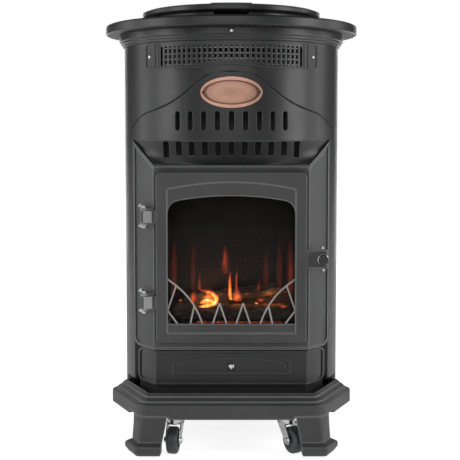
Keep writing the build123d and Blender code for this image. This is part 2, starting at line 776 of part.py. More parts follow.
with BuildPart() as hood_panel:
    add(
        bent_sheet(
            hood_outline.sketch, arc_plan(panel_radius), arc_plan(body_radius + seat_gap),
            hood_bottom - 10, hood_top + 10,
        )
    )
    for angle in slot_angles:
        with BuildSketch(radial(body_radius - 4, angle, slot_middle)):
            SlotOverall(slot_length, slot_width, rotation=90)
        extrude(amount=10, mode=Mode.SUBTRACT)
hood_panel.part.label = "hood_panel"
export_step(hood_panel.part, "parts/hood_panel.step")

badge_half, badge_rise, badge_z = 56.0, 28.0, 673.0
badge_back = panel_radius + seat_gap
badge_face = badge_back + 2.4

badge_low, badge_high = badge_z - badge_rise - trim, badge_z + badge_rise + trim


def oval(inset=0.0):
    """Front view of the badge."""
    with BuildSketch() as outline:
        with Locations((0, badge_z)):
            Ellipse(badge_half - inset, badge_rise - inset)
    return outline.sketch


badge_base = bent_sheet(
    oval(), arc_plan(badge_face - 1.1), arc_plan(badge_back), badge_low, badge_high
)
badge_raised = bent_sheet(
    oval(), arc_plan(badge_face), arc_plan(badge_back), badge_low, badge_high
)

with BuildPart() as badge:
    add(badge_raised)
    with BuildSketch(facing(0)):
        add(oval(4.5))
        add(oval(9), mode=Mode.SUBTRACT)
    extrude(amount=2 * body_radius, mode=Mode.SUBTRACT)
    add(badge_base)
badge.part.label = "badge"
export_step(badge.part, "parts/badge.step")

# -------------------------------------------------------------------- fire surround
soffit_low, soffit_high = frame_top + seat_gap, hood_bottom - seat_gap
soffit_half_low, soffit_half_high, soffit_radius = 142.0, 187.0, 215.0
soffit_slots, soffit_pitch, soffit_width = 11, 24.2, 11.0
soffit_slot_low, soffit_slot_high = 557.8, 584.0
bead_radius, boss_radius = 1.7, 3.0


def arc_strip(radius, half, thick):
    """Strip of sheet along an arc, seen from above."""
    depth, inner = sqrt(radius**2 - half**2), radius - thick
    inner_depth = sqrt(inner**2 - (half - thick) ** 2)
    with BuildSketch() as strip:
        with BuildLine():
            ThreePointArc((-half, -depth), (0, -radius), (half, -depth))
            Line((half, -depth), (half - thick, -inner_depth))
            ThreePointArc((half - thick, -inner_depth), (0, -inner), (thick - half, -inner_depth))
            Line((thick - half, -inner_depth), (-half, -depth))
        make_face()
    return strip.sketch


with BuildPart() as soffit:
    with BuildSketch(level(soffit_low)):
        with Locations((0, -frame_flat)):
            Rectangle(2 * soffit_half_low, 2.6, align=(Align.CENTER, Align.MIN))
    with BuildSketch(level(soffit_high)):
        add(arc_strip(soffit_radius, soffit_half_high, 2.6))
    loft(ruled=True)
    with BuildSketch(facing(0)):
        for n in range(soffit_slots):
            place = n - (soffit_slots - 1) / 2
            low = soffit_slot_low - (4 if abs(place) == (soffit_slots - 1) / 2 else 0)
            with Locations((place * soffit_pitch, (low + soffit_slot_high) / 2)):
                RectangleRounded(soffit_width, soffit_slot_high - low, 2)
    extrude(amount=2 * body_radius, mode=Mode.SUBTRACT)
    # bead along its lower edge, with a boss at each end
    with BuildSketch(flank(-soffit_half_low)):
        with Locations((-frame_flat, soffit_low + bead_radius + seat_gap)):
            Circle(bead_radius)
    extrude(amount=2 * soffit_half_low)
    for side in (-1, 1):
        with Locations(
            (side * soffit_half_low, axis_y - frame_flat, soffit_low + boss_radius + seat_gap)
        ):
            Sphere(boss_radius)
soffit.part.label = "soffit"
export_step(soffit.part, "parts/soffit.step")

opening_half, opening_low, opening_high = 128.0, 218.0, 515.0


def frame_outline(inset=0.0):
    """Front view of the fire surround: a rectangle with two raised shoulders."""
    with BuildSketch() as outline:
        with BuildLine():
            Polyline(
                (-frame_half, frame_bottom), (frame_half, frame_bottom),
                (frame_half, frame_shoulder), (frame_flat_half, frame_top),
                (-frame_flat_half, frame_top), (-frame_half, frame_shoulder), close=True,
            )
        make_face()
        fillet(outline.vertices().group_by(Axis.Y)[0], radius=16)
        if inset:
            offset(amount=-inset, mode=Mode.REPLACE)
    return outline.sketch


frame_plan = bay_plan(frame_radius, frame_flat, frame_half + trim)
frame_plan_inner = bay_plan(frame_radius - frame_sheet, frame_flat - frame_sheet, body_radius)
frame_rim_plan = bay_plan(frame_radius + rim_height, frame_flat + rim_height, frame_half + trim)
frame_low, frame_high = frame_bottom - trim, frame_shoulder + trim
frame_skin_part = bent_sheet(frame_outline(), frame_plan, frame_plan_inner, frame_low, frame_high)
frame_rim_part = bent_sheet(
    frame_outline(), frame_rim_plan, bay_plan(frame_radius - 0.5, frame_flat - 0.5, body_radius),
    frame_low, frame_high,
)

with BuildPart() as front_frame:
    add(frame_rim_part)
    with BuildSketch(facing(0)):
        add(frame_outline(rim_width))
    extrude(amount=2 * body_radius, mode=Mode.SUBTRACT)
    add(frame_skin_part)
    with BuildSketch(facing(frame_flat - 20)):
        with Locations((0, (opening_low + opening_high) / 2)):
            RectangleRounded(2 * opening_half, opening_high - opening_low, 6)
    extrude(amount=40, mode=Mode.SUBTRACT)
    # bead down each fold
    with BuildSketch(level(frame_bottom + rim_width / 2)):
        with Locations((-frame_flat_half, -frame_flat), (frame_flat_half, -frame_flat)):
            Circle(bead_radius)
    extrude(amount=frame_top - frame_bottom - rim_width / 2)
front_frame.part.label = "front_frame"
export_step(front_frame.part, "parts/front_frame.step")

# --------------------------------------------------------------------- lower panel
lower_bottom, lower_top = 121.6, 188.5
ash_half, ash_bottom, ash_shoulder, ash_crown = 111.5, 141.5, 173.0, 183.0
lower_screw_z = 157.6


def lower_outline(inset=0.0):
    """Front view of the lower panel."""
    with BuildSketch() as outline:
        with Locations((0, (lower_bottom + lower_top) / 2)):
            RectangleRounded(2 * (lower_half - inset), lower_top - lower_bottom - 2 * inset, 14 - inset)
    return outline.sketch


def ash_outline(inset=0.0):
    """Front view of the raised ash panel: an arched top between cut corners."""
    with BuildSketch() as outline:
        with BuildLine():
            Polyline(
                (-ash_half + 8, ash_shoulder), (-ash_half, ash_shoulder - 8), (-ash_half, ash_bottom),
                (ash_half, ash_bottom), (ash_half, ash_shoulder - 8), (ash_half - 8, ash_shoulder),
            )
            ThreePointArc(
                (ash_half - 8, ash_shoulder), (0, ash_crown), (-ash_half + 8, ash_shoulder)
            )
        make_face()
        if inset:
            offset(amount=-inset, mode=Mode.REPLACE)
    return outline.sketch


lower_plan = bay_plan(lower_radius, lower_flat, lower_half + trim)
lower_plan_inner = bay_plan(lower_radius - sheet, lower_flat - sheet, body_radius)
lower_skin_part = bent_sheet(
    lower_outline(), lower_plan, lower_plan_inner, lower_bottom - trim, lower_top + trim
)
lower_rim_part = bent_sheet(
    lower_outline(), bay_plan(lower_radius + 2, lower_flat + 2, lower_half + trim),
    bay_plan(lower_radius - 0.5, lower_flat - 0.5, body_radius),
    lower_bottom - trim, lower_top + trim,
)

with BuildPart() as lower_panel:
    add(lower_rim_part)
    with BuildSketch(facing(0)):
        add(lower_outline(4))
    extrude(amount=2 * body_radius, mode=Mode.SUBTRACT)
    add(lower_skin_part)
    with BuildSketch(facing(lower_flat - 0.5)):
        add(ash_outline())
        add(ash_outline(3.2), mode=Mode.SUBTRACT)
    extrude(amount=2.3)
    with BuildSketch(facing(lower_flat - 0.5)):
        add(ash_outline(9))
    extrude(amount=1.7)
    # bead down each fold
    with BuildSketch(level(lower_bottom + 2)):
        with Locations((-lower_flat_half, -lower_flat), (lower_flat_half, -lower_flat)):
            Circle(bead_radius)
    extrude(amount=lower_top - lower_bottom - 4)
lower_panel.part.label = "lower_panel"
export_step(lower_panel.part, "parts/lower_panel.step")

riser_radius = lower_radius - sheet - seat_gap
riser_flat = lower_flat - sheet - seat_gap

with BuildPart() as riser_panel:
    with BuildSketch(level(floor_top + seat_gap)):
        add(bay_plan(riser_radius, riser_flat, lower_half - 3))
        add(bay_plan(riser_radius - sheet, riser_flat - sheet, body_radius), mode=Mode.SUBTRACT)
    extrude(amount=136 - floor_top)
riser_panel.part.label = "riser_panel"
export_step(riser_panel.part, "parts/riser_panel.step")

# ------------------------------------------------------------------ firebox and fire
box_half, box_low, box_high = 132.0, 212.0, 520.0
box_front = frame_flat - frame_sheet - seat_gap  # front face of its flange
box_back = 101.0
tray_half, tray_top = 105.0, 236.0
tray_front, tray_back = 150.0, 104.0
tray_low = box_low + sheet + seat_gap

with BuildPart() as firebox:
    with BuildSketch(facing(box_back)):
        with Locations((0, (box_low + box_high) / 2)):
            Rectangle(2 * box_half, box_high - box_low)
    extrude(amount=box_front - box_back)
    with BuildSketch(facing(box_front - sheet)):
        with Locations((0, (box_low + box_high) / 2)):
            Rectangle(2 * box_half + 8, box_high - box_low + 4)
    extrude(amount=sheet)
    with BuildSketch(facing(box_back + sheet)):
        with Locations((0, (box_low + box_high) / 2)):
            Rectangle(2 * (box_half - sheet), box_high - box_low - 2 * sheet)
    extrude(amount=box_front, mode=Mode.SUBTRACT)
    with BuildSketch(flank(0)):
        with Locations((-127, burner_z)):
            Circle(pipe_radius + run_gap)
    extrude(amount=body_radius, mode=Mode.SUBTRACT)
firebox.part.label = "firebox"
export_step(firebox.part, "parts/firebox.step")

with BuildPart() as burner_tray:
    with BuildSketch(level(tray_low)):
        with Locations((0, -(tray_front + tray_back) / 2)):
            RectangleRounded(2 * tray_half, tray_front - tray_back, 4)
    extrude(amount=tray_top - tray_low)
    with BuildSketch(level(tray_top - 3)):
        with Locations((0, -(tray_front + tray_back) / 2)):
            RectangleRounded(2 * tray_half - 6, tray_front - tray_back - 6, 2)
    extrude(amount=3, mode=Mode.SUBTRACT)
burner_tray.part.label = "burner_tray"
export_step(burner_tray.part, "parts/burner_tray.step")

with BuildPart() as ember_bed:
    with BuildSketch(level(tray_top - 3 + seat_gap)):
        with Locations((0, -(tray_front + tray_back) / 2)):
            RectangleRounded(2 * tray_half - 8, tray_front - tray_back - 8, 1.5)
    extrude(amount=7)
ember_bed.part.label = "ember_bed"
export_step(ember_bed.part, "parts/ember_bed.step")

logs = (
    ("log_left", (-112, -137, 257.2), (-20, -130, 265.2), 17.0),
    ("log_right", (8, -133, 256.5), (112, -136, 262.5), 16.0),
    ("log_back", (-92, -115, 283), (96, -115, 299), 11.5),
)
for name, start, end, radius in logs:
    run = Vector(*end) - Vector(*start)
    origin = Vector(*start) + Vector(0, axis_y, 0)
    with BuildPart() as log:
        for along, swell in ((0, 0.82), (0.06, 1.0), (0.5, 0.9), (0.94, 0.96), (1, 0.78)):
            with BuildSketch(Plane(origin + run * along, x_dir=(0, 1, 0), z_dir=run)):
                Circle(radius * swell)
        loft(ruled=True)
    log.part.label = name
    export_step(log.part, f"parts/{name}.step")

with BuildPart() as pilot_assembly:
    with BuildSketch(level(tray_low)):
        with Locations((-120, -134)):
            RectangleRounded(12, 20, 2)
    extrude(amount=30)
    with BuildSketch(level(tray_low + 30)):
        with Locations((-122.5, -139), (-117.5, -134), (-122.5, -129)):
            Circle(1.6)
    extrude(amount=16)
pilot_assembly.part.label = "pilot_assembly"
export_step(pilot_assembly.part, "parts/pilot_assembly.step")

deflector_z = 706.0

with BuildPart() as heat_deflector:
    with BuildSketch(level(deflector_z)):
        add(arc_plan(rail_outer))
        with Locations((0, partition_y - sheet - seat_gap)):
            Rectangle(
                3 * body_radius, body_radius, align=(Align.CENTER, Align.MIN), mode=Mode.SUBTRACT
            )
    extrude(amount=sheet)
heat_deflector.part.label = "heat_deflector"
export_step(heat_deflector.part, "parts/heat_deflector.step")

# --------------------------------------------------------------------------- pipes
inlet_x = -120.0
inlet_low, tail_low, tail_radius = 700.0, 672.0, 4.5
pipe_bend = 12.0


def pipe_point(x, y, z):
    """A point of a pipe run, given about the body axis."""
    return (x, axis_y + y, z)


with BuildPart() as gas_pipe:
    with BuildLine() as supply_run:
        FilletPolyline(
            pipe_point(control_x + valve_half + seat_gap, control_y, pipe_start_z),
            pipe_point(riser_x, control_y, pipe_start_z),
            pipe_point(riser_x, -80, pipe_start_z), pipe_point(riser_x, -80, burner_z),
            pipe_point(riser_x, -127, burner_z),
            pipe_point(tray_half + seat_gap, -127, burner_z), radius=pipe_bend,
        )
    with BuildSketch(Plane(supply_run.line @ 0, z_dir=supply_run.line % 0)):
        Circle(pipe_radius)
    sweep(path=supply_run.line)
gas_pipe.part.label = "gas_pipe"
export_step(gas_pipe.part, "parts/gas_pipe.step")

with BuildPart() as inlet_pipe:
    with BuildLine() as inlet_run:
        FilletPolyline(
            pipe_point(control_x, control_y + 15 + seat_gap, pipe_start_z),
            pipe_point(control_x, -20, pipe_start_z), pipe_point(inlet_x, -20, pipe_start_z),
            pipe_point(inlet_x, control_y, pipe_start_z), pipe_point(inlet_x, control_y, inlet_low),
            radius=pipe_bend,
        )
    with BuildSketch(Plane(inlet_run.line @ 0, z_dir=inlet_run.line % 0)):
        Circle(pipe_radius)
    sweep(path=inlet_run.line)
    with BuildSketch(level(tail_low + 20)):
        with Locations((inlet_x, control_y)):
            RegularPolygon(9, 6)
    extrude(amount=10)
    with BuildSketch(level(tail_low)):
        with Locations((inlet_x, control_y)):
            Circle(tail_radius)
    extrude(amount=20)
inlet_pipe.part.label = "inlet_pipe"
export_step(inlet_pipe.part, "parts/inlet_pipe.step")

# ----------------------------------------------------------------------------- door
door_back = frame_flat + run_gap
door_front = door_back + door_thick
skin_back = door_front - door_skin
recess = 2.0
recess_below, recess_above = 16.5, 24.5
window_corner = 24.0
door_middle = (door_bottom + door_top) / 2
rebate_half, rebate_low, rebate_high = 131.0, 215.0, 518.5
door_axis_x, door_axis_depth, hinge_radius = -163.0, 161.5, 7.5
arm_levels, arm_height = (282.5, 443.5), 23.0
arm_front, arm_back = 169.0, 163.8
latch_x, latch_z = 171.0, 364.0
latch_spindle = 3.5


def window(margin, low, crown, shoulder, corner):
    """Front view of the arched window, grown by margin."""
    with BuildSketch() as outline:
        with BuildLine():
            Polyline(
                (-window_half, shoulder), (-window_half, low), (window_half, low),
                (window_half, shoulder),
            )
            ThreePointArc((window_half, shoulder), (0, crown), (-window_half, shoulder))
        make_face()
        top_pair = outline.vertices().group_by(Axis.Y)[-1]
        fillet(top_pair, radius=corner)
        if margin:
            offset(amount=margin, mode=Mode.REPLACE)
    return outline.sketch


with BuildPart() as door_frame:
    with BuildSketch(facing(door_back)):
        with Locations((0, door_middle)):
            RectangleRounded(2 * door_half, door_top - door_bottom, 11)
    extrude(amount=door_thick)
    fillet(door_frame.faces().sort_by(Axis.Y)[0].edges(), radius=4)
    with BuildSketch(facing(door_front - recess)):
        add(window(
            1.0, window_bottom - recess_below, window_crown + recess_above,
            window_shoulder + recess_above, 3.0,
        ))
    extrude(amount=recess, mode=Mode.SUBTRACT)
    with BuildSketch(facing(door_back - 5)):
        add(window(0.0, window_bottom, window_crown, window_shoulder, window_corner))
    extrude(amount=2 * door_thick, mode=Mode.SUBTRACT)
    with BuildSketch(facing(door_back)):
        with Locations((0, (rebate_low + rebate_high) / 2)):
            Rectangle(2 * rebate_half, rebate_high - rebate_low)
    extrude(amount=skin_back - door_back, mode=Mode.SUBTRACT)
    # hinge arms, with a barrel round the pin
    for z in arm_levels:
        with BuildSketch(level(z - arm_height / 2)):
            with Locations((door_axis_x, -door_axis_depth)):
                Circle(hinge_radius)
            with Locations((door_axis_x, -arm_front)):
                Rectangle(
                    -door_axis_x - door_half + 2, arm_front - arm_back, align=(Align.MIN, Align.MIN)
                )
            with Locations((door_axis_x, -door_axis_depth)):
                Circle(hinge_pin + shaft_gap, mode=Mode.SUBTRACT)
        extrude(amount=arm_height)
    # latch arm
    with BuildSketch(facing(arm_back)):
        with Locations((door_half - 2, latch_z)):
            Rectangle(40, 34, align=(Align.MIN, Align.CENTER))
        with Locations((latch_x, latch_z)):
            Circle(latch_spindle + shaft_gap, mode=Mode.SUBTRACT)
    extrude(amount=arm_front - arm_back)
door_frame.part.label = "door_frame"
export_step(door_frame.part, "parts/door_frame.step")

fret_width = 3.0

with BuildPart() as door_fret:
    with BuildSketch(facing(skin_back - seat_gap - 2.2)):
        with BuildLine():
            Spline(
                (-121.0, 327.8), (-102.9, 314.3), (-84.3, 296.6), (-71.6, 279.5),
                (-62.9, 264.1), (-53.8, 240.0),
            )
        trace(line_width=fret_width)
        for start, end in (
            ((-103.4, 314.0), (-120.0, 266.0)), ((-120.0, 268.0), (-99.0, 240.0)),
            ((-69.5, 276.0), (-77.5, 240.0)), ((-22.0, 281.4), (-8.0, 240.0)),
            ((-22.0, 281.4), (-36.0, 240.0)),
        ):
            with BuildLine():
                Line(start, end)
            trace(line_width=fret_width)
        mirror(about=Plane.YZ)
        with Locations((0, 239.2)):
            Rectangle(242, 6.4)
    extrude(amount=2.2)
door_fret.part.label = "door_fret"
export_step(door_fret.part, "parts/door_fret.step")

glass_half, glass_low, glass_high = 126.5, 231.0, 497.0
glass_front = skin_back - seat_gap - 2.2 - seat_gap - 0.2
seal_width = 3.2

with BuildPart() as door_seal:
    with BuildSketch(facing(glass_front + seat_gap)):
        with Locations((0, (glass_low + glass_high) / 2)):
            RectangleRounded(2 * glass_half - 1, glass_high - glass_low - 1, 4)
            RectangleRounded(
                2 * (glass_half - seal_width) - 1, glass_high - glass_low - 1 - 2 * seal_width, 2,
                mode=Mode.SUBTRACT,
            )
    extrude(amount=skin_back - seat_gap - glass_front - seat_gap)
door_seal.part.label = "door_seal"
export_step(door_seal.part, "parts/door_seal.step")

with BuildPart() as door_glass:
    with BuildSketch(facing(glass_front - glass_thick)):
        with Locations((0, (glass_low + glass_high) / 2)):
            RectangleRounded(2 * glass_half, glass_high - glass_low, 4)
    extrude(amount=glass_thick)
door_glass.part.label = "door_glass"
export_step(door_glass.part, "parts/door_glass.step")

clip_back = door_back + seat_gap
clip_levels = (262.0, 364.0, 466.0)

with BuildPart() as glass_clips:
    for side in (-1, 1):
        for z in clip_levels:
            foot_middle = side * (glass_half + rebate_half) / 2
            with BuildSketch(facing(clip_back)):
                with Locations((foot_middle, z)):
                    Rectangle(rebate_half - glass_half - 2 * seat_gap, 14)
            extrude(amount=skin_back - seat_gap - clip_back)
            with BuildSketch(facing(clip_back)):
                with Locations((side * (rebate_half - seat_gap - 4.75), z)):
                    Rectangle(9.5, 14)
            extrude(amount=glass_front - glass_thick - seat_gap - clip_back)
glass_clips.part.label = "glass_clips"
export_step(glass_clips.part, "parts/glass_clips.step")

# ------------------------------------------------------------ hinge brackets and pins
ear_thick = 4.0
pad_inner = frame_radius + seat_gap
pad_outer = pad_inner + 2.2


def ring_sector(outer, inner, low_x, high_x):
    """Piece of a ring about the body axis, between two x values, in front."""
    with BuildSketch() as sector:
        Circle(outer)
        Circle(inner, mode=Mode.SUBTRACT)
        with Locations(((low_x + high_x) / 2, -outer / 2)):
            Rectangle(high_x - low_x, outer, mode=Mode.INTERSECT)
    return sector.sketch


with BuildPart() as hinge_brackets:
    for z in arm_levels:
        with BuildSketch(level(z - arm_height / 2 - ear_gap - ear_thick)):
            add(ring_sector(pad_outer, pad_inner, -163, -147))
        extrude(amount=arm_height + 2 * (ear_gap + ear_thick))
        for low in (z - arm_height / 2 - ear_gap - ear_thick, z + arm_height / 2 + ear_gap):
            with BuildSketch(level(low)):
                with Locations((door_axis_x, -door_axis_depth)):
                    Circle(hinge_radius)
                with BuildLine():
                    Polyline(
                        (door_axis_x - 5.3, -door_axis_depth + 5.3), (-161, -145),
                        (-149, -158), (door_axis_x + 5.3, -door_axis_depth - 5.3), close=True,
                    )
                make_face()
                Circle(pad_inner, mode=Mode.SUBTRACT)
                with Locations((door_axis_x, -door_axis_depth)):
                    Circle(hinge_pin + seat_gap, mode=Mode.SUBTRACT)
            extrude(amount=ear_thick)
hinge_brackets.part.label = "hinge_brackets"
export_step(hinge_brackets.part, "parts/hinge_brackets.step")

with BuildPart() as hinge_pins:
    for z in arm_levels:
        reach = arm_height / 2 + ear_gap + ear_thick
        with BuildSketch(level(z - reach - seat_gap - 4)):
            with Locations((door_axis_x, -door_axis_depth)):
                Circle(hinge_pin)
        extrude(amount=2 * (reach + seat_gap + 4))
        for low in (z - reach - seat_gap - 5, z + reach + seat_gap):
            with BuildSketch(level(low)):
                with Locations((door_axis_x, -door_axis_depth)):
                    RegularPolygon(5.4, 6)
            extrude(amount=5)
hinge_pins.part.label = "hinge_pins"
export_step(hinge_pins.part, "parts/hinge_pins.step")

# ----------------------------------------------------------------------------- latch
tongue_front, tongue_back = 158.8, 156.3
tongue_length = 18.0
keeper_front, keeper_back = 162.8, 160.2

with BuildPart() as latch_knob:
    with BuildSketch(facing(tongue_back)):
        with Locations((latch_x, latch_z)):
            Circle(latch_spindle)
    extrude(amount=arm_front + 3 - tongue_back)
    with BuildSketch(facing(tongue_back)):
        with Locations((latch_x, latch_z - tongue_length / 2)):
            Rectangle(7, tongue_length)
        with Locations((latch_x, latch_z)):
            Circle(latch_spindle + 1.5)
    extrude(amount=tongue_front - tongue_back)
    with BuildSketch(facing(arm_front + run_gap)):
        with Locations((latch_x, latch_z)):
            Circle(7)
    extrude(amount=3)
    with BuildSketch(facing(arm_front + run_gap + 3)):
        with Locations((latch_x, latch_z)):
            Circle(10)
    extrude(amount=11)
    fillet(latch_knob.faces().sort_by(Axis.Y)[0].edges(), radius=3.5)
latch_knob.part.label = "latch_knob"
export_step(latch_knob.part, "parts/latch_knob.step")

with BuildPart() as latch_keeper:
    with BuildSketch(level(latch_z - 14)):
        add(ring_sector(pad_outer, pad_inner, 146.7, 151.5))
    extrude(amount=28)
    with BuildSketch(level(latch_z - 7)):
        with Locations((147, -keeper_front)):
            Rectangle(3.5, keeper_front - 153, align=(Align.MIN, Align.MIN))
            Rectangle(13, keeper_front - keeper_back, align=(Align.MIN, Align.MIN))
        Circle(pad_inner, mode=Mode.SUBTRACT)
    extrude(amount=14)
latch_keeper.part.label = "latch_keeper"
export_step(latch_keeper.part, "parts/latch_keeper.step")

# --------------------------------------------------------------------------- castors
castor_x, castor_front, castor_rear = 106.0, -160.0, 128.0
castors = (
    ("front_left", -castor_x, castor_front, -8),
    ("front_right", castor_x, castor_front, 28),
    ("rear_left", -castor_x, castor_rear, -12),
    ("rear_right", castor_x, castor_rear, 16),
)
kingpin_radius, kingpin_low = 4.0, 48.3
cup_radius, cup_low, cup_split = 17.0, 54.0, 62.0
plate_low = floor_bottom - seat_gap - 2.2
cheek_inner, cheek_outer = 12.0, 14.0
axle_radius = 3.0


def castor_level(x, y, yaw, z):
    """Horizontal plane on a castor's swivel axis, turned with the castor."""
    heading = (cos(radians(yaw)), sin(radians(yaw)), 0)
    return Plane((x, axis_y + y, z), x_dir=heading, z_dir=(0, 0, 1))


def castor_side(x, y, yaw, aside):
    """Upright plane across a castor's axle, moved aside along it; its y is height."""
    heading = (cos(radians(yaw)), sin(radians(yaw)), 0)
    rolling = (-sin(radians(yaw)), cos(radians(yaw)), 0)
    origin = (x + aside * heading[0], axis_y + y + aside * heading[1], 0)
    return Plane(origin, x_dir=rolling, z_dir=heading)


with BuildPart() as castor_plates:
    for name, x, y, yaw in castors:
        with BuildSketch(castor_level(x, y, 0, plate_low)):
            RectangleRounded(60, 60, 6)
        extrude(amount=2.2)
        with BuildSketch(castor_level(x, y, 0, cup_split + 0.5)):
            Circle(cup_radius)
        extrude(amount=plate_low - cup_split - 0.5)
        with BuildSketch(castor_level(x, y, 0, kingpin_low)):
            Circle(kingpin_radius)
        extrude(amount=cup_split + 1 - kingpin_low)
        with BuildSketch(castor_level(x, y, 0, kingpin_low)):
            Circle(7)
        extrude(amount=3.4)
castor_plates.part.label = "castor_plates"
export_step(castor_plates.part, "parts/castor_plates.step")

for name, x, y, yaw in castors:
    with BuildPart() as castor_fork:
        with BuildSketch(castor_level(x, y, yaw, cup_low - 2)):
            RectangleRounded(2 * cheek_outer, 30, 3)
            Circle(cup_radius)
        extrude(amount=2.2)
        with BuildSketch(castor_level(x, y, yaw, cup_low)):
            Circle(cup_radius - 1)
        extrude(amount=cup_split - 0.5 - cup_low)
        for inner in (-cheek_outer, cheek_inner):
            with BuildSketch(castor_side(x, y, yaw, inner)) as cheek:
                with Locations((-castor_trail, wheel_radius)):
                    Circle(8)
                with Locations((0, cup_low - 1)):
                    Rectangle(28, 2)
                make_hull()
            extrude(amount=cheek_outer - cheek_inner)
        with BuildSketch(castor_side(x, y, yaw, -cheek_outer)):
            with Locations((-castor_trail, wheel_radius)):
                Circle(axle_radius)
        extrude(amount=2 * cheek_outer)
        for inner in (-cheek_outer - 3, cheek_outer):
            with BuildSketch(castor_side(x, y, yaw, inner)):
                with Locations((-castor_trail, wheel_radius)):
                    RegularPolygon(5.4, 6)
            extrude(amount=3)
        with BuildSketch(castor_level(x, y, yaw, cup_low - 3)):
            Circle(kingpin_radius + shaft_gap)
        extrude(amount=20, mode=Mode.SUBTRACT)
    castor_fork.part.label = f"castor_fork_{name}"
    export_step(castor_fork.part, f"parts/castor_fork_{name}.step")

    with BuildPart() as castor_wheel:
        with BuildSketch(castor_side(x, y, yaw, -wheel_width / 2)):
            with Locations((-castor_trail, wheel_radius)):
                Circle(wheel_radius)
        extrude(amount=wheel_width)
        fillet(castor_wheel.edges(), radius=5)
        for start in (-wheel_width / 2, wheel_width / 2 - 2):
            with BuildSketch(castor_side(x, y, yaw, start)):
                with Locations((-castor_trail, wheel_radius)):
                    Circle(14)
                    Circle(6.5, mode=Mode.SUBTRACT)
            extrude(amount=2, mode=Mode.SUBTRACT)
        with BuildSketch(castor_side(x, y, yaw, -wheel_width)):
            with Locations((-castor_trail, wheel_radius)):
                Circle(axle_radius + shaft_gap)
        extrude(amount=2 * wheel_width, mode=Mode.SUBTRACT)
    castor_wheel.part.label = f"castor_wheel_{name}"
    export_step(castor_wheel.part, f"parts/castor_wheel_{name}.step")

# --------------------------------------------------------------------------- screws
screw_back = 0.1

with BuildPart() as body_screws:
    for radius, angle, z, head in (
        (224.0, 0.0, 782.5, 3.4),
        (panel_radius, -44.8, 740.0, 3.0),
        (panel_radius, 44.8, 740.0, 3.0),
    ):
        with BuildSketch(radial(radius + screw_back, angle, z)):
            Circle(head)
        extrude(amount=2.4, taper=25)
    with BuildSketch(facing(lower_flat + 1.2 + screw_back)):
        with Locations((0, lower_screw_z)):
            Circle(6.0)
    extrude(amount=3, taper=25)
body_screws.part.label = "body_screws"
export_step(body_screws.part, "parts/body_screws.step")
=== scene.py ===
"""Finishes, fire and studio for the gas cabinet heater, laid out as an add-on.

Metres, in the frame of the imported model: the floor is z = 0 and -Y faces the user.
"""

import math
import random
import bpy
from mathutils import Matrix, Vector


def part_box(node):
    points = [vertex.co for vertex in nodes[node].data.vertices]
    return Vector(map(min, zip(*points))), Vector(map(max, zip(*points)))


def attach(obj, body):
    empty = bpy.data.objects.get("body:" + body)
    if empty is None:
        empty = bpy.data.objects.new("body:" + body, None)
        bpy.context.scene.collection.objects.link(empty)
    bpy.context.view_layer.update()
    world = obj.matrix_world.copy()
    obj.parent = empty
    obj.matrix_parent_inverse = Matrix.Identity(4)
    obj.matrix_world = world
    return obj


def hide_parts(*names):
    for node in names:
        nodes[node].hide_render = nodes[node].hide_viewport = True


bl_info = {
    "name": "Cabinet Heater Looks",
    "version": (1, 0, 0),
    "blender": (4, 5, 0),
    "location": "View3D > Sidebar > Heater",
    "description": "Enamel, glass, log fire and studio for a portable gas cabinet heater",
    "category": "Object",
}

import bmesh
import bpy
from mathutils import Matrix, Vector, noise

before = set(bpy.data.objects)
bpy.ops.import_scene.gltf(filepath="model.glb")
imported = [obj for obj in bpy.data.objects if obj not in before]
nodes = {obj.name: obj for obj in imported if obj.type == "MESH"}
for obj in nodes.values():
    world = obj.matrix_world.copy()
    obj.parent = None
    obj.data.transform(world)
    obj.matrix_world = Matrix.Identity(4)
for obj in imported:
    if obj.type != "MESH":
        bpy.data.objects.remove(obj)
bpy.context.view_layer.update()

CASTINGS = (
    "plinth", "leg_front_left", "leg_front_right", "leg_rear_left", "leg_rear_right",
    "front_frame", "door_frame", "latch_keeper",
)
SHEETS = (
    "top_plate", "neck_ring", "lid", "lid_collar", "lower_panel", "soffit", "hood_panel",
    "vent_grille", "body_shell", "rear_cover", "cover_rails", "bottle_shelf", "partition",
    "floor_pan", "heat_deflector", "control_pan", "lid_hinge",
)
# near black: soot in the fire bay, and painted shade on the riser panel in the gap under the lower
# panel
SOOT_AND_SHADE = ("riser_panel", "firebox", "burner_tray")
BRIGHT = (
    "hinge_pins", "castor_plates", "castor_fork_front_left",
    "castor_fork_front_right", "castor_fork_rear_left", "castor_fork_rear_right",
)
DULL = ("grille_wires", "glass_clips", "pilot_assembly", "gas_valve")
BRASS = ("gas_pipe", "inlet_pipe", "valve_bush")
WHEELS = (
    "castor_wheel_front_left", "castor_wheel_front_right", "castor_wheel_rear_left",
    "castor_wheel_rear_right",
)

# --------------------------------------------------------------- paint, its wear and painted edge highlights
CLOUD_SIZE, GLOSS_SIZE = 0.09, 0.03  # patches of uneven tone, and of uneven gloss
EDGE_SAMPLES = 6
EDGE_TURN = (0.99, 0.88)  # cosine between rounded and flat normal: plain paint, fully paler edge (wear and painted highlight)
EDGE_ROOM = 0.006  # an edge is painted paler only where nothing stands closer than this

# ---------------------------------------------------------------- places and sizes
AXIS_Y = 0.004  # the body axis stands this far behind the middle of the box
SHELL_RADIUS = 0.21355
GRILLE_RADIUS = 0.2156
NECK_RADIUS = 0.2240
LOWER_PANEL_REACH = 0.1563  # face of the panel under the door, in front of the axis

BADGE_RADIUS, BADGE_Z = 0.2179, 0.673
BADGE_HALF_WIDTH, BADGE_HALF_HEIGHT = 0.04925, 0.02125  # of the groove round its field
BADGE_GROOVE_END = 1.055  # where the groove ends and the rim starts, as a share of these
RIVET_X = 0.0515
# radius and height of each step of a rivet, from its foot to its tip
RIVET = ((0, -0.001), (0.0021, -0.001), (0.0021, 0.0002), (0.0015, 0.0009), (0, 0.0011))

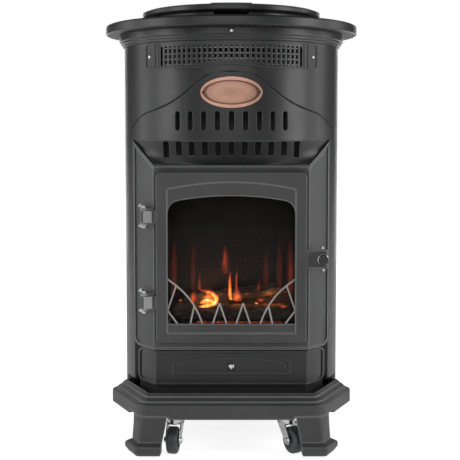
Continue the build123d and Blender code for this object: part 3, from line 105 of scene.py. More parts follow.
# outline of one half of the hood's upper edge, x and z
HOOD_EDGE = (
    (0.0, 0.7095), (0.0466, 0.7015), (0.072, 0.681), (0.0936, 0.664), (0.115, 0.6515),
    (0.138, 0.642), (0.161, 0.634), (0.178, 0.622), (0.189, 0.608), (0.1925, 0.588),
)
# the painted shadow strip across its width: distance out from the edge, and lift off the shell
SHADOW_STRIP = ((-0.0012, 0.0), (0.0004, 0.00015), (0.0026, 0.00015), (0.0032, 0.0))
SHADOW_STRIP_STEPS = 8  # between two points of the edge

# x, y, z, radius and height of the nuts on the frame and on the door
FRAME_NUTS = tuple((-0.1715, -0.1400, z, 0.0040, 0.0045) for z in (0.4602, 0.4222, 0.2992, 0.2612))
DOOR_NUTS = ((0.1700, -0.1600, 0.3830, 0.0034, 0.0040), (0.1720, -0.1600, 0.3415, 0.0034, 0.0035))
# shares of a nut's radius and height, with the end of its screw in the middle
NUT = (
    (0, 0), (0.88, 0), (1.0, 0.15), (1.0, 0.85), (0.88, 1.0), (0.5, 1.0), (0.42, 1.25), (0, 1.3),
)
HINGE_PLATE_X, HINGE_PLATE_BOTTOMS = (-0.1640, -0.1478), (0.2710, 0.4320)
HINGE_PLATE_BACK, HINGE_PLATE_HEIGHT, HINGE_PLATE_THICK = -0.1649, 0.0230, 0.0018
LATCH_FACE_Y, LATCH_Z = -0.1690, 0.364
LATCH_RING = (
    (0.0085, -0.0006), (0.0104, -0.0006), (0.0108, 0.0006), (0.0104, 0.0016),
    (0.0096, 0.0018), (0.0085, 0.0012), (0.0085, -0.0006),
)

# piece, its two ends, radius and seed
LOGS = (
    ("log_left", (-0.112, -0.133, 0.2572), (-0.004, -0.126, 0.2662), 0.0182, 1),
    ("log_right", (-0.002, -0.129, 0.2580), (0.112, -0.132, 0.2625), 0.0182, 2),
    ("log_back", (-0.092, -0.111, 0.2830), (0.096, -0.111, 0.2990), 0.0125, 3),
)
LOG_SIDES = 40
LOG_BEND = 0.004  # how far a log sways off its straight line
BARK_AROUND, BARK_ALONG = 1.1, 14  # how fast the bark changes round a log, and along it
SAWN_SHARE, SAWN_ROUGH = 0.55, 0.0015  # flat middle of a log's end, and its unevenness
COAL_COLUMNS, COAL_ROWS, COAL_SEED = 26, 6, 5
EMBER_SIDES, EMBER_FLATNESS = 18, 0.55  # a glowing patch is wider than it is high
# x, z, size and heat of the glowing patches among the logs
EMBER_SPOTS = (
    (0.047, 0.278, 0.0050, 1.00), (0.055, 0.284, 0.0090, 0.52), (0.064, 0.277, 0.0060, 0.45),
    (0.098, 0.272, 0.0080, 0.52), (0.090, 0.276, 0.0050, 0.34), (-0.096, 0.284, 0.0050, 0.62),
    (-0.100, 0.306, 0.0035, 0.50), (-0.012, 0.304, 0.0035, 0.45), (0.100, 0.300, 0.0040, 0.40),
    (0.030, 0.296, 0.0060, 0.36), (-0.004, 0.252, 0.0050, 0.30), (0.076, 0.292, 0.0050, 0.34),
)
# depth and path of each flame; a path is stations of x, z, half width and heat
FLAMES = (
    (-0.1500, ((-0.063, 0.2715, 0.0020, 0.62), (-0.046, 0.2735, 0.0050, 0.95),
               (-0.031, 0.2790, 0.0062, 1.00), (-0.027, 0.2885, 0.0060, 0.95),
               (-0.037, 0.2975, 0.0048, 0.80), (-0.050, 0.3020, 0.0032, 0.62),
               (-0.060, 0.3040, 0.0010, 0.40))),
    (-0.1510, ((-0.058, 0.2790, 0.0025, 0.70), (-0.048, 0.2850, 0.0042, 1.00),
               (-0.038, 0.2835, 0.0040, 1.00), (-0.033, 0.2790, 0.0020, 0.85))),
    (-0.1490, ((-0.050, 0.2740, 0.0100, 0.55), (-0.040, 0.2850, 0.0170, 0.58),
               (-0.040, 0.2960, 0.0120, 0.45), (-0.052, 0.3060, 0.0040, 0.20))),
    (-0.1490, ((-0.072, 0.2790, 0.0060, 0.50), (-0.072, 0.2890, 0.0085, 0.56),
               (-0.071, 0.2980, 0.0050, 0.40), (-0.070, 0.3050, 0.0015, 0.10))),
    (-0.1480, ((-0.001, 0.2850, 0.0040, 0.80), (-0.003, 0.2960, 0.0045, 0.78),
               (-0.003, 0.3120, 0.0038, 0.62), (-0.003, 0.3260, 0.0028, 0.50),
               (-0.002, 0.3380, 0.0010, 0.20))),
    (-0.1475, ((0.012, 0.2820, 0.0100, 0.48), (0.012, 0.2900, 0.0095, 0.60),
               (0.010, 0.3000, 0.0060, 0.50), (0.009, 0.3150, 0.0020, 0.46),
               (0.010, 0.3290, 0.0022, 0.44), (0.011, 0.3420, 0.0008, 0.10))),
    (-0.1240, ((-0.012, 0.3300, 0.0080, 0.24), (-0.012, 0.3500, 0.0085, 0.34),
               (-0.012, 0.3680, 0.0060, 0.30), (-0.013, 0.3860, 0.0020, 0.05))),
    (-0.1240, ((-0.061, 0.3000, 0.0040, 0.34), (-0.061, 0.3150, 0.0040, 0.32),
               (-0.060, 0.3330, 0.0020, 0.05))),
    (-0.1240, ((0.052, 0.2960, 0.0040, 0.30), (0.052, 0.3100, 0.0040, 0.30),
               (0.053, 0.3220, 0.0015, 0.05))),
    (-0.1220, ((0.066, 0.3000, 0.0060, 0.14), (0.066, 0.3300, 0.0070, 0.20),
               (0.067, 0.3700, 0.0040, 0.04))),
    (-0.1220, ((-0.073, 0.3000, 0.0050, 0.12), (-0.073, 0.3400, 0.0060, 0.19),
               (-0.072, 0.3900, 0.0030, 0.03))),
    (-0.1220, ((-0.110, 0.2900, 0.0060, 0.16), (-0.110, 0.3400, 0.0070, 0.22),
               (-0.109, 0.3900, 0.0040, 0.04))),
    (-0.1220, ((0.113, 0.2900, 0.0060, 0.20), (0.113, 0.3400, 0.0070, 0.26),
               (0.112, 0.3950, 0.0040, 0.04))),
    (-0.1220, ((0.092, 0.2950, 0.0060, 0.10), (0.092, 0.3400, 0.0070, 0.15),
               (0.091, 0.3900, 0.0040, 0.03))),
)
FLAME_COLUMNS, FLAME_STEPS, FLAME_SOFTENINGS = 8, 6, 3
FLAME_BELLY = 0.0015  # how far the middle of a flame comes forward
FIRE_LIGHTS = ((-0.045, 1.0), (0.010, 0.6), (0.075, 0.6))  # x and share of the power
FIRE_LIGHT_Y, FIRE_LIGHT_Z = -0.128, 0.285

DIAL_MIDDLE, DIAL_RADIUS, DIAL_Z = (0.045, AXIS_Y - 0.050), 0.030, 0.77155
DIAL_MARKS, DIAL_START, DIAL_STEP = 5, -30, 60  # degrees round the knob
# distance from the axis, degrees round it, height, radius, and whether it has a washer
SCREWS = (
    (NECK_RADIUS, 0.0, 0.7825, 0.0034, True), (GRILLE_RADIUS, -44.8, 0.740, 0.0030, False),
    (GRILLE_RADIUS, 44.8, 0.740, 0.0030, False), (LOWER_PANEL_REACH, 0.0, 0.1576, 0.0052, True),
)

LAMP_AIM = (0, 0, 0.45)
# kind, distance to the side, y, z and width of the tall lamps that stand on both sides
TALL_LAMPS = (
    ("lamp", 2.1, -0.9, 0.9, 0.8), ("strip", 2.0, 0.35, 0.8, 0.4), ("rim", 0.9, 2.0, 0.8, 0.35),
)
TALL_LAMP_HEIGHT = 2.0
LAMP_SHARES = {"left": 0.72, "right": 0.92}  # the right side of the body is the brighter one
STRIP_SHARE = 0.3
FLOOR_SIZE, FLOOR_BACK = 6, 2.0  # half its width, and how far its middle lies behind
FLOOR_SHADE, FLOOR_FADE = 0.78, (0.25, 0.9)  # tone under the heater, and where it turns white
CAMERA_X, CAMERA_PITCH, CAMERA_SHIFT = -0.0026, 3.72, -0.101


# ------------------------------------------------------------------- node helpers
def add(tree, kind, inputs=None, **settings):
    """Adds a shader node; an input is a constant or another node's output."""
    node = tree.nodes.new("ShaderNode" + kind)
    for field, value in settings.items():
        setattr(node, field, value)
    for socket, value in (inputs or {}).items():
        if isinstance(value, bpy.types.NodeSocket):
            tree.links.new(value, node.inputs[socket])
        else:
            node.inputs[socket].default_value = value
    return node


def new_finish(name):
    """A material with an empty tree."""
    finish = bpy.data.materials.new(name)
    finish.use_nodes = True
    finish.node_tree.nodes.clear()
    return finish, finish.node_tree


def surface(name, colour, roughness, metallic=0.0):
    """A Principled material; returns the material, its tree and the shader."""
    finish, tree = new_finish(name)
    shader = add(tree, "BsdfPrincipled", {
        "Base Color": (*colour, 1.0), "Roughness": roughness, "Metallic": metallic,
    })
    add(tree, "OutputMaterial", {"Surface": shader.outputs["BSDF"]})
    return finish, tree, shader


def grain(tree, size, detail=3.0, roughness=0.5, stretch=None):
    """Noise in object space whose grains are about size metres across."""
    place = add(tree, "TexCoord").outputs["Object"]
    if stretch:
        place = add(tree, "Mapping", {"Vector": place, "Scale": stretch}).outputs["Vector"]
    return add(tree, "TexNoise", {
        "Vector": place, "Scale": 1.0 / size, "Detail": detail, "Roughness": roughness,
    }).outputs["Fac"]


def ramp(tree, value, stops):
    """Colour ramp over value; stops are (position, colour)."""
    scale = add(tree, "ValToRGB", {"Fac": value})
    marks = scale.color_ramp.elements
    marks[0].position, marks[1].position = stops[0][0], stops[-1][0]
    marks[0].color, marks[1].color = (*stops[0][1], 1.0), (*stops[-1][1], 1.0)
    for position, colour in stops[1:-1]:
        marks.new(position).color = (*colour, 1.0)
    return scale.outputs["Color"]


def remap(tree, value, low, high, start=0.0, end=1.0):
    """Maps value from start..end to low..high, and holds it there."""
    return add(tree, "MapRange", {
        "Value": value, "From Min": start, "From Max": end, "To Min": low, "To Max": high,
    }).outputs["Result"]


def compute(tree, operation, first, second):
    """One operation on two numbers."""
    return add(tree, "Math", {0: first, 1: second}, operation=operation).outputs["Value"]


def blend(tree, factor, first, second, kind="MIX"):
    """Mixes two colours."""
    inputs = {"Factor": factor, "A": first, "B": second}
    return add(tree, "Mix", inputs, data_type="RGBA", blend_type=kind).outputs["Result"]


def bumped(tree, shader, height, distance, before=None):
    """Adds height as a bump to the shader, on top of an earlier normal."""
    bump = add(tree, "Bump", {"Strength": 1.0, "Distance": distance, "Height": height})
    if before:
        tree.links.new(before, bump.inputs["Normal"])
    tree.links.new(bump.outputs["Normal"], shader.inputs["Normal"])
    return bump.outputs["Normal"]


def lit(tree, base, light):
    """Sends the sum of a surface and the light that it gives off to the output."""
    both = add(tree, "AddShader", {0: base.outputs["BSDF"], 1: light.outputs["Emission"]})
    add(tree, "OutputMaterial", {"Surface": both.outputs["Shader"]})


def seen_as(tree, seen, otherwise):
    """One value for what the camera sees directly, and another for all other light."""
    direct = add(tree, "LightPath").outputs["Is Camera Ray"]
    return add(tree, "Mix", {"Factor": direct, "A": otherwise, "B": seen}).outputs["Result"]


def scaled(colour, factor):
    """The same colour, darker or paler."""
    return tuple(channel * factor for channel in colour)


def plain(name, colour, roughness, metallic=0.0, clouds=None, fine=None):
    """A finish with clouds of tone (size, detail, stops) and a fine bump (size, detail, depth)."""
    finish, tree, shader = surface(name, colour, roughness, metallic)
    if clouds:
        size, detail, stops = clouds
        tone = ramp(tree, grain(tree, size, detail), stops)
        tree.links.new(tone, shader.inputs["Base Color"])
    if fine:
        size, detail, depth = fine
        bumped(tree, shader, grain(tree, size, detail), depth)
    return finish


def enamel(name, colour, roughness, grain_size, depth, wear_and_sheen=1.6, edge_round=0.0006):
    """Matt enamel: a cast grain under it, uneven gloss, and convex edges painted paler, as edge
    wear and a painted highlight.
    """
    finish, tree, shader = surface(name, colour, roughness)
    tone = ramp(
        tree, grain(tree, CLOUD_SIZE, 4.0),
        ((0.3, scaled(colour, 0.8)), (0.7, scaled(colour, 1.22))),
    )
    # paler convex edges, edge wear and a painted highlight: an edge shows where the rounded normal
    # turns away from the face, out in the open
    rounded = add(tree, "Bevel", {"Radius": edge_round}, samples=EDGE_SAMPLES).outputs["Normal"]
    face = add(tree, "NewGeometry").outputs["Normal"]
    turn = add(tree, "VectorMath", {0: rounded, 1: face}, operation="DOT_PRODUCT")
    edge_sheen_mask = remap(tree, turn.outputs["Value"], 0.0, 1.0, *EDGE_TURN)
    room = add(tree, "AmbientOcclusion", {"Distance": EDGE_ROOM}, samples=EDGE_SAMPLES)
    edge_wear_and_sheen = compute(tree, "MULTIPLY", edge_sheen_mask, room.outputs["AO"])
    paint = blend(tree, edge_wear_and_sheen, tone, (*scaled(colour, wear_and_sheen), 1.0))
    tree.links.new(paint, shader.inputs["Base Color"])
    gloss = remap(tree, grain(tree, GLOSS_SIZE), roughness - 0.06, roughness + 0.1)
    tree.links.new(gloss, shader.inputs["Roughness"])
    # the casting's grain, and a finer one on top of it
    coarse = bumped(tree, shader, grain(tree, grain_size, 2.0, 0.6), depth, rounded)
    bumped(tree, shader, grain(tree, grain_size / 3, 1.0), depth / 4, coarse)
    return finish


# ------------------------------------------------------------------- shape helpers
def dress(names, finish, edge):
    """Gives CAD nodes a finish and softens their edges so that they catch the light."""
    for name in names:
        node = nodes[name]
        node.data.materials.clear()
        node.data.materials.append(finish)
        smooth(node, edge)


def smooth(piece, edge):
    """Joins the facets of a curved face, with a small round along sharp edges."""
    piece.data.polygons.foreach_set("use_smooth", [True] * len(piece.data.polygons))
    weld = piece.modifiers.new("weld", "WELD")
    weld.merge_threshold = 0.00001
    if edge:
        bevel = piece.modifiers.new("edge", "BEVEL")
        bevel.width = edge
        bevel.segments = 1
        bevel.limit_method = "ANGLE"
        bevel.angle_limit = math.radians(40)
        bevel.use_clamp_overlap = True
    normals = piece.modifiers.new("normals", "WEIGHTED_NORMAL")
    normals.keep_sharp = True
    normals.weight = 60


def piece_from(form, name, body, finish, shade=True):
    """Makes an object from a bmesh, rides it on a body and gives it its finish."""
    mesh = bpy.data.meshes.new(name)
    form.to_mesh(mesh)
    form.free()
    if shade:
        mesh.polygons.foreach_set("use_smooth", [True] * len(mesh.polygons))
    mesh.materials.append(finish)
    piece = bpy.data.objects.new(name, mesh)
    bpy.context.scene.collection.objects.link(piece)
    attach(piece, body)
    return piece


def compass(segments):
    """Cosine and sine of evenly spaced angles round a circle."""
    angles = [2 * math.pi * step / segments for step in range(segments)]
    return [(math.cos(angle), math.sin(angle)) for angle in angles]


def skin(form, rows, closed=False):
    """Faces between neighbouring rows of points; a row of one point is a tip."""
    count = max(len(row) for row in rows)
    for low, high in zip(rows, rows[1:]):
        for step in range(count if closed else count - 1):
            after = (step + 1) % count
            corners = (
                low[step % len(low)], low[after % len(low)],
                high[after % len(high)], high[step % len(high)],
            )
            form.faces.new(list(dict.fromkeys(corners)))


def turned(form, place, outline, segments):
    """Adds a turned solid; outline is (radius, height), and a radius of 0 is a tip."""
    rings = []
    for radius, height in outline:
        spokes = compass(segments) if radius else [(0, 0)]
        rings.append([
            form.verts.new(place @ Vector((radius * x, radius * y, height))) for x, y in spokes
        ])
    skin(form, rings, closed=True)


def chamfered_plate(form, low, high, back, thick):
    """A thin upright plate facing the user, with its front edges cut at an angle."""
    rings = []
    for depth, inset in ((0.0, 0.0), (thick * 0.6, 0.0), (thick, thick * 0.4)):
        left, bottom, right, top = low[0] + inset, low[1] + inset, high[0] - inset, high[1] - inset
        rings.append([
            form.verts.new((x, back - depth, z))
            for x, z in ((left, bottom), (right, bottom), (right, top), (left, top))
        ])
    skin(form, rings, closed=True)
    form.faces.new(rings[-1])
    form.faces.new(rings[0][::-1])


def standing_on(point, outward):
    """Placement whose z axis points outward from a surface point."""
    turn = Vector(outward).to_track_quat("Z", "Y").to_matrix().to_4x4()
    return Matrix.Translation(point) @ turn


def on_body(radius, angle, height):
    """A point at an angle round the body axis, and the way straight out of it."""
    outward = Vector((math.sin(angle), -math.cos(angle), 0))
    return Vector((0, AXIS_Y, height)) + outward * radius, outward


# ------------------------------------------------------------------------ settings
def colour_setting(name, description, default):
    """A colour in the panel."""
    return bpy.props.FloatVectorProperty(
        name=name, description=description, subtype="COLOR", size=3, min=0, max=1, default=default,
    )


def amount(name, description, default, high):
    """A number from 0 to high in the panel."""
    return bpy.props.FloatProperty(
        name=name, description=description, default=default, min=0, max=high,
    )


class HeaterFinishes(bpy.types.PropertyGroup):
    """Colours and grain of the painted and plated surfaces."""

    enamel_colour: colour_setting(
        "Enamel", "Matt black enamel on the castings", (0.038, 0.0384, 0.039)
    )
    sheet_colour: colour_setting(
        "Sheet", "Powder coat on the round sheet body", (0.013, 0.0133, 0.0138)
    )
    grain_size: bpy.props.FloatProperty(
        name="Casting grain", description="Width of a grain of the cast surface",
        unit="LENGTH", default=0.0026, min=0.0002, max=0.01,
    )
    copper_colour: colour_setting("Copper", "Copper plate of the badge", (0.60, 0.335, 0.25))
    fret_colour: colour_setting("Fret", "Grey metal of the window fret", (0.30, 0.295, 0.285))
    tyre_colour: colour_setting("Tyre", "Rubber of the castor wheels", (0.035, 0.038, 0.042))


class HeaterFire(bpy.types.PropertyGroup):
    """Heat and shape of the log fire."""

    ember_strength: amount("Ember glow", "Brightness of the hottest embers", 1.8, 50)
    flame_strength: amount("Flame glow", "Brightness of the flames", 1.7, 50)
    lamp_power: amount("Fire light", "Light that the fire throws on its surroundings", 0.12, 10)
    log_detail: bpy.props.IntProperty(
        name="Bark detail", description="Rings of points along each log",
        default=56, min=12, max=160,
    )


class HeaterStudio(bpy.types.PropertyGroup):
    """Camera, lamps and backdrop."""

    eye_height: bpy.props.FloatProperty(
        name="Eye height", description="Camera height above the floor",
        unit="LENGTH", default=0.62,
    )
    eye_distance: bpy.props.FloatProperty(
        name="Eye distance", description="Camera distance in front of the body axis",
        unit="LENGTH", default=1.926,
    )
    lens: bpy.props.FloatProperty(
        name="Lens", description="Focal length on a 36 mm sensor", default=74.27, min=10, max=300,
    )
    key_power: amount("Key light", "Power of the large lamp high in front", 20.0, 500)
    side_power: amount("Side lights", "Power of the two tall side lamps", 27.0, 500)
    rim_power: amount("Rim lights", "Power of the two tall lamps behind", 6.0, 500)
    floor_bounce: amount("Floor bounce", "Light that the white floor throws up", 0.36, 1)
    surround: amount("Surround", "Brightness of the surround in light and reflections", 0.09, 1)


# ----------------------------------------------------------------------- operators
class HEATER_OT_castings(bpy.types.Operator):
    """Enamel on the castings: plinth, legs, front frame, door frame and hinge brackets"""

    bl_idname = "heater.castings"
    bl_label = "Castings"

    def execute(self, context):
        settings = context.scene.heater_finishes
        # edges painted six times paler: mostly a painted highlight on beads and rims, with some
        # wear
        cast = enamel(
            "cast_enamel", settings.enamel_colour, 0.44, settings.grain_size,
            depth=0.00060, wear_and_sheen=6.0, edge_round=0.0042,
        )
        dress(CASTINGS, cast, 0.0006)
        # the door's long thin faces shade evenly only when each keeps its own normals
        door = nodes["door_frame"]
        door.modifiers.remove(door.modifiers["normals"])
        if "custom_normal" in door.data.attributes:
            door.data.attributes.remove(door.data.attributes["custom_normal"])
        facets = door.modifiers.new("facets", "EDGE_SPLIT")
        facets.split_angle = math.radians(25)
        bracket = enamel(
            "bracket_enamel", (0.24, 0.24, 0.24), 0.5, 0.0012, depth=0.00015, edge_round=0.0010,
        )
        dress(("hinge_brackets",), bracket, 0.0004)
        return {"FINISHED"}


class HEATER_OT_sheets(bpy.types.Operator):
    """Smoother powder coat on the sheet body, near-black soot inside the fire bay, and painted
    shade on the riser panel
    """

    bl_idname = "heater.sheets"
    bl_label = "Sheet metal"

    def execute(self, context):
        # edges painted six times paler: mostly a painted highlight on folds and rims, with some
        # wear
        coat = enamel(
            "sheet_coat", context.scene.heater_finishes.sheet_colour, 0.34, 0.0013,
            depth=0.00012, wear_and_sheen=6.0, edge_round=0.0020,
        )
        dress(SHEETS, coat, 0.0003)
        # the same near black is soot in the fire bay and painted shade on the riser panel
        soot_and_shade = enamel(
            "soot_and_shade_coat", (0.010, 0.0085, 0.008), 0.85, 0.004, depth=0.00003, wear_and_sheen=1.1,
        )
        dress(SOOT_AND_SHADE, soot_and_shade, 0.0003)
        return {"FINISHED"}


class HEATER_OT_bright_metal(bpy.types.Operator):
    """Plated steel of hinge pins and castor forks, dull and black plate, and drawn brass"""

    bl_idname = "heater.bright_metal"
    bl_label = "Bright metal"

    def execute(self, context):
        smudges = (0.02, 4.0, ((0.3, (0.5, 0.5, 0.51)), (0.7, (0.7, 0.7, 0.71))))
        bright = plain(
            "bright_plate", (0.62, 0.62, 0.63), 0.2, 1.0, smudges, fine=(0.004, 2.0, 0.00008),
        )
        dress(BRIGHT, bright, 0.0004)

        dull, tree, shader = surface("dull_plate", (0.3, 0.3, 0.3), 0.45, 1.0)
        bumped(tree, shader, grain(tree, 0.002, 2.0, stretch=(1, 1, 0.1)), 0.00005)
        dress(DULL, dull, 0.0002)

        black = plain(
            "black_plate", (0.045, 0.045, 0.047), 0.22, 0.6, fine=(0.003, 2.0, 0.00005),
        )
        dress(("latch_knob",), black, 0.0003)

        tarnish = (0.03, 5.0, ((0.35, (0.42, 0.29, 0.13)), (0.65, (0.66, 0.5, 0.24))))
        dress(BRASS, plain("drawn_brass", (0.6, 0.44, 0.2), 0.32, 1.0, tarnish), 0.0)
        return {"FINISHED"}


class HEATER_OT_badge(bpy.types.Operator):
    """Brushed copper badge with painted shade in the groove inside its rim, and two small rivets
    """

    bl_idname = "heater.badge"
    bl_label = "Badge"

    def execute(self, context):
        colour = context.scene.heater_finishes.copper_colour
        finish, tree, shader = surface("copper_plate", colour, 0.34, 0.55)
        brushing = grain(tree, 0.0012, 3.0, stretch=(0.06, 1, 1))
        tone = ramp(tree, brushing, ((0.3, scaled(colour, 0.82)), (0.7, scaled(colour, 1.12))))
        # 0 in the middle of the oval and 1 along its groove
        across = add(tree, "Mapping", {
            "Vector": add(tree, "TexCoord").outputs["Object"],
            "Location": (0, 0, -BADGE_Z / BADGE_HALF_HEIGHT),
            "Scale": (1 / BADGE_HALF_WIDTH, 0, 1 / BADGE_HALF_HEIGHT),
        })
        reach = add(tree, "VectorMath", {0: across.outputs["Vector"]}, operation="LENGTH")
        # tone across the oval: a little darker in the middle, a paler band, and painted shade in
        # the groove inside the rim
        groove_shade = ramp(
            tree, reach.outputs["Value"],
            (
                (0.0, (0.62, 0.60, 0.58)), (0.60, (0.80, 0.78, 0.76)), (0.90, (0.70, 0.68, 0.66)),
                (0.95, (0.22, 0.19, 0.17)), (1.0, (0.30, 0.27, 0.25)),
            ),
        )
        shaded_copper = blend(tree, 1.0, tone, groove_shade, "MULTIPLY")
        rim = compute(tree, "GREATER_THAN", reach.outputs["Value"], BADGE_GROOVE_END)
        tree.links.new(blend(tree, rim, shaded_copper, tone), shader.inputs["Base Color"])
        bumped(tree, shader, brushing, 0.00006)
        dress(("badge",), finish, 0.0004)

        form = bmesh.new()
        for side in (-1, 1):
            angle = side * math.asin(RIVET_X / BADGE_RADIUS)
            turned(form, standing_on(*on_body(BADGE_RADIUS + 0.0001, angle, BADGE_Z)), RIVET, 16)
        dark = plain("rivet_steel", (0.05, 0.045, 0.04), 0.4, 0.8)
        piece_from(form, "badge_rivets", "cabinet", dark)
        return {"FINISHED"}


class HEATER_OT_hood_shadow_gap(bpy.types.Operator):
    """Painted shadow: a black strip in the gap where the hood's edge lies on the round shell"""

    bl_idname = "heater.hood_seam"
    bl_label = "Hood shadow gap"

    def execute(self, context):
        edge = [
            Vector(first).lerp(Vector(second), step / SHADOW_STRIP_STEPS)
            for first, second in zip(HOOD_EDGE, HOOD_EDGE[1:]) for step in range(SHADOW_STRIP_STEPS)
        ]
        edge.append(Vector(HOOD_EDGE[-1]))
        form = bmesh.new()
        for side in (-1, 1):
            rows = []
            for number, here in enumerate(edge):
                along = edge[min(number + 1, len(edge) - 1)] - edge[max(number - 1, 0)]
                outward = Vector((-along.y, along.x)).normalized()
                row = []
                for reach, lift in SHADOW_STRIP:
                    spot = here + outward * reach
                    angle = side * math.asin(spot.x / SHELL_RADIUS)
                    point, _ = on_body(SHELL_RADIUS + lift, angle, spot.y)
                    row.append(form.verts.new(point))
                rows.append(row)
            skin(form, list(zip(*rows)))
        # near-black strip that paints the shadow in the gap round the hood's edge
        black = plain("shadow_gap_black", (0.004, 0.004, 0.004), 0.9, fine=(0.002, 2.0, 0.00004))
        piece_from(form, "hood_shadow_gap_line", "cabinet", black)
        return {"FINISHED"}


class HEATER_OT_ironwork(bpy.types.Operator):
    """Bright nuts by the hinges and the latch, plates under the hinges, and a latch ring"""

    bl_idname = "heater.ironwork"
    bl_label = "Door ironwork"

    def execute(self, context):
        steel = plain("nut_steel", (0.72, 0.72, 0.73), 0.24, 1.0, fine=(0.001, 2.0, 0.00003))
        for body, spots in (("cabinet", FRAME_NUTS), ("door", DOOR_NUTS)):
            form = bmesh.new()
            for x, y, z, radius, height in spots:
                outline = [(radius * out, height * up) for out, up in NUT]
                turned(form, Matrix.Translation((x, y, z)), outline, 6)
            piece_from(form, f"{body}_nuts", body, steel, shade=False)

        form = bmesh.new()
        left, right = HINGE_PLATE_X
        for bottom in HINGE_PLATE_BOTTOMS:
            chamfered_plate(
                form, (left, bottom), (right, bottom + HINGE_PLATE_HEIGHT),
                HINGE_PLATE_BACK, HINGE_PLATE_THICK,
            )
        piece_from(form, "hinge_plates", "door", bpy.data.materials["bracket_enamel"], shade=False)

        form = bmesh.new()
        low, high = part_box("latch_knob")
        middle = Vector(((low.x + high.x) / 2, LATCH_FACE_Y, LATCH_Z))
        turned(form, standing_on(middle, (0, -1, 0)), LATCH_RING, 40)
        piece_from(form, "latch_ring", "latch", steel)
        return {"FINISHED"}


class HEATER_OT_window(bpy.types.Operator):
    """Door glass, the grey fret in front of it, and the woven seal"""

    bl_idname = "heater.window"
    bl_label = "Window"

    def execute(self, context):
        glass, tree = new_finish("heat_glass")
        clear = add(tree, "BsdfTransparent", {"Color": (0.93, 0.93, 0.93, 1)})
        shine = add(tree, "BsdfGlossy", {"Roughness": 0.04, "Color": (0.09, 0.09, 0.09, 1)})
        film = remap(tree, grain(tree, 0.08), 0.004, 0.02)
        slant = add(tree, "Fresnel", {"IOR": 1.3}).outputs["Fac"]
        mixed = add(tree, "MixShader", {
            "Fac": compute(tree, "ADD", film, slant),
            1: clear.outputs["BSDF"], 2: shine.outputs["BSDF"],
        })
        add(tree, "OutputMaterial", {"Surface": mixed.outputs["Shader"]})
        dress(("door_glass",), glass, 0.0)

        colour = context.scene.heater_finishes.fret_colour
        dress(("door_fret",), enamel("fret_grey", colour, 0.42, 0.0012, 0.0001, wear_and_sheen=1.5), 0.0004)

        tape, tree, shader = surface("seal_tape", (0.12, 0.12, 0.11), 0.95)
        weave = add(tree, "TexWave", {
            "Vector": add(tree, "TexCoord").outputs["Object"], "Scale": 300.0, "Distortion": 2.0,
        })
        bumped(tree, shader, weave.outputs["Fac"], 0.0003)
        dress(("door_seal",), tape, 0.0)
        return {"FINISHED"}


def bark(name):
    """Charred bark: dark fibres along the log, with grey ash on the ridges."""
    finish, tree, shader = surface(name, (0.05, 0.04, 0.03), 0.95)
    fibres = grain(tree, 0.004, 5.0, 0.62, stretch=(0.3, 1, 1))
    tone = ramp(
        tree, fibres,
        (
            (0.3, (0.004, 0.0035, 0.003)), (0.45, (0.022, 0.017, 0.012)),
            (0.58, (0.05, 0.042, 0.03)), (0.72, (0.13, 0.115, 0.09)),
        ),
    )
    tree.links.new(tone, shader.inputs["Base Color"])
    rough = bumped(tree, shader, fibres, 0.0015)
    bumped(tree, shader, grain(tree, 0.0014, 2.0), 0.0003, rough)
    return finish


def bark_reach(spot):
    """Share of the radius that the bark reaches at a spot: lumps, ridges and fine bark."""
    lumps = noise.noise(spot * 0.9)
    ridges = noise.noise(Vector((spot.x * 4.5, spot.y * 4.5, spot.z * 0.8)))
    fine = noise.noise(Vector((spot.x * 12, spot.y * 12, spot.z * 3)))
    return 0.9 + 0.12 * lumps + 0.09 * ridges + 0.04 * fine


def log_form(start, end, radius, seed, rings):
    """A log between two points: uneven bark, a slight bend, and rough sawn ends."""
    form = bmesh.new()
    run = end - start
    turn = run.to_track_quat("Z", "Y").to_matrix()
    shift = Vector((seed * 7.3, seed * 3.1, seed * 5.7))  # each log has bark of its own
    loops = []
    for ring in range(rings + 1):
        along = ring / rings
        taper = 1.0 - 0.16 * abs(2 * along - 1) ** 6
        sway = Vector((math.sin(3 * along + seed), math.cos(2.3 * along + seed), 0)) * LOG_BEND
        loop = []
        for x, y in compass(LOG_SIDES):
            length = along * run.length * BARK_ALONG
            spot = Vector((x * BARK_AROUND, y * BARK_AROUND, length)) + shift
            reach = min(radius * taper * bark_reach(spot), radius)
            point = Vector((x, y, 0)) * reach + sway
            loop.append(form.verts.new(start + run * along + turn @ point))
        loops.append(loop)
    skin(form, loops, closed=True)
    for loop, sign in ((loops[0], -1), (loops[-1], 1)):
        outward = run.normalized() * sign
        middle = sum((vert.co for vert in loop), Vector()) / LOG_SIDES
        inner = []
        for vert in loop:
            rise = outward * SAWN_ROUGH * noise.noise(vert.co * 300)
            inner.append(form.verts.new(middle + (vert.co - middle) * SAWN_SHARE + rise))
        heart = form.verts.new(middle - outward * 0.001)
        skin(form, (loop, inner, [heart]), closed=True)
    bmesh.ops.recalc_face_normals(form, faces=form.faces)
    return form


class HEATER_OT_logs(bpy.types.Operator):
    """Ceramic logs with charred bark, laid over each other on the embers"""

    bl_idname = "heater.logs"
    bl_label = "Logs"

    def execute(self, context):
        rings = context.scene.heater_fire.log_detail
        finish = bark("charred_bark")
        for node, start, end, radius, seed in LOGS:
            form = log_form(Vector(start), Vector(end), radius, seed, rings)
            piece = piece_from(form, node + "_bark", "cabinet", finish)
            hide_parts(node)
        return {"FINISHED"}


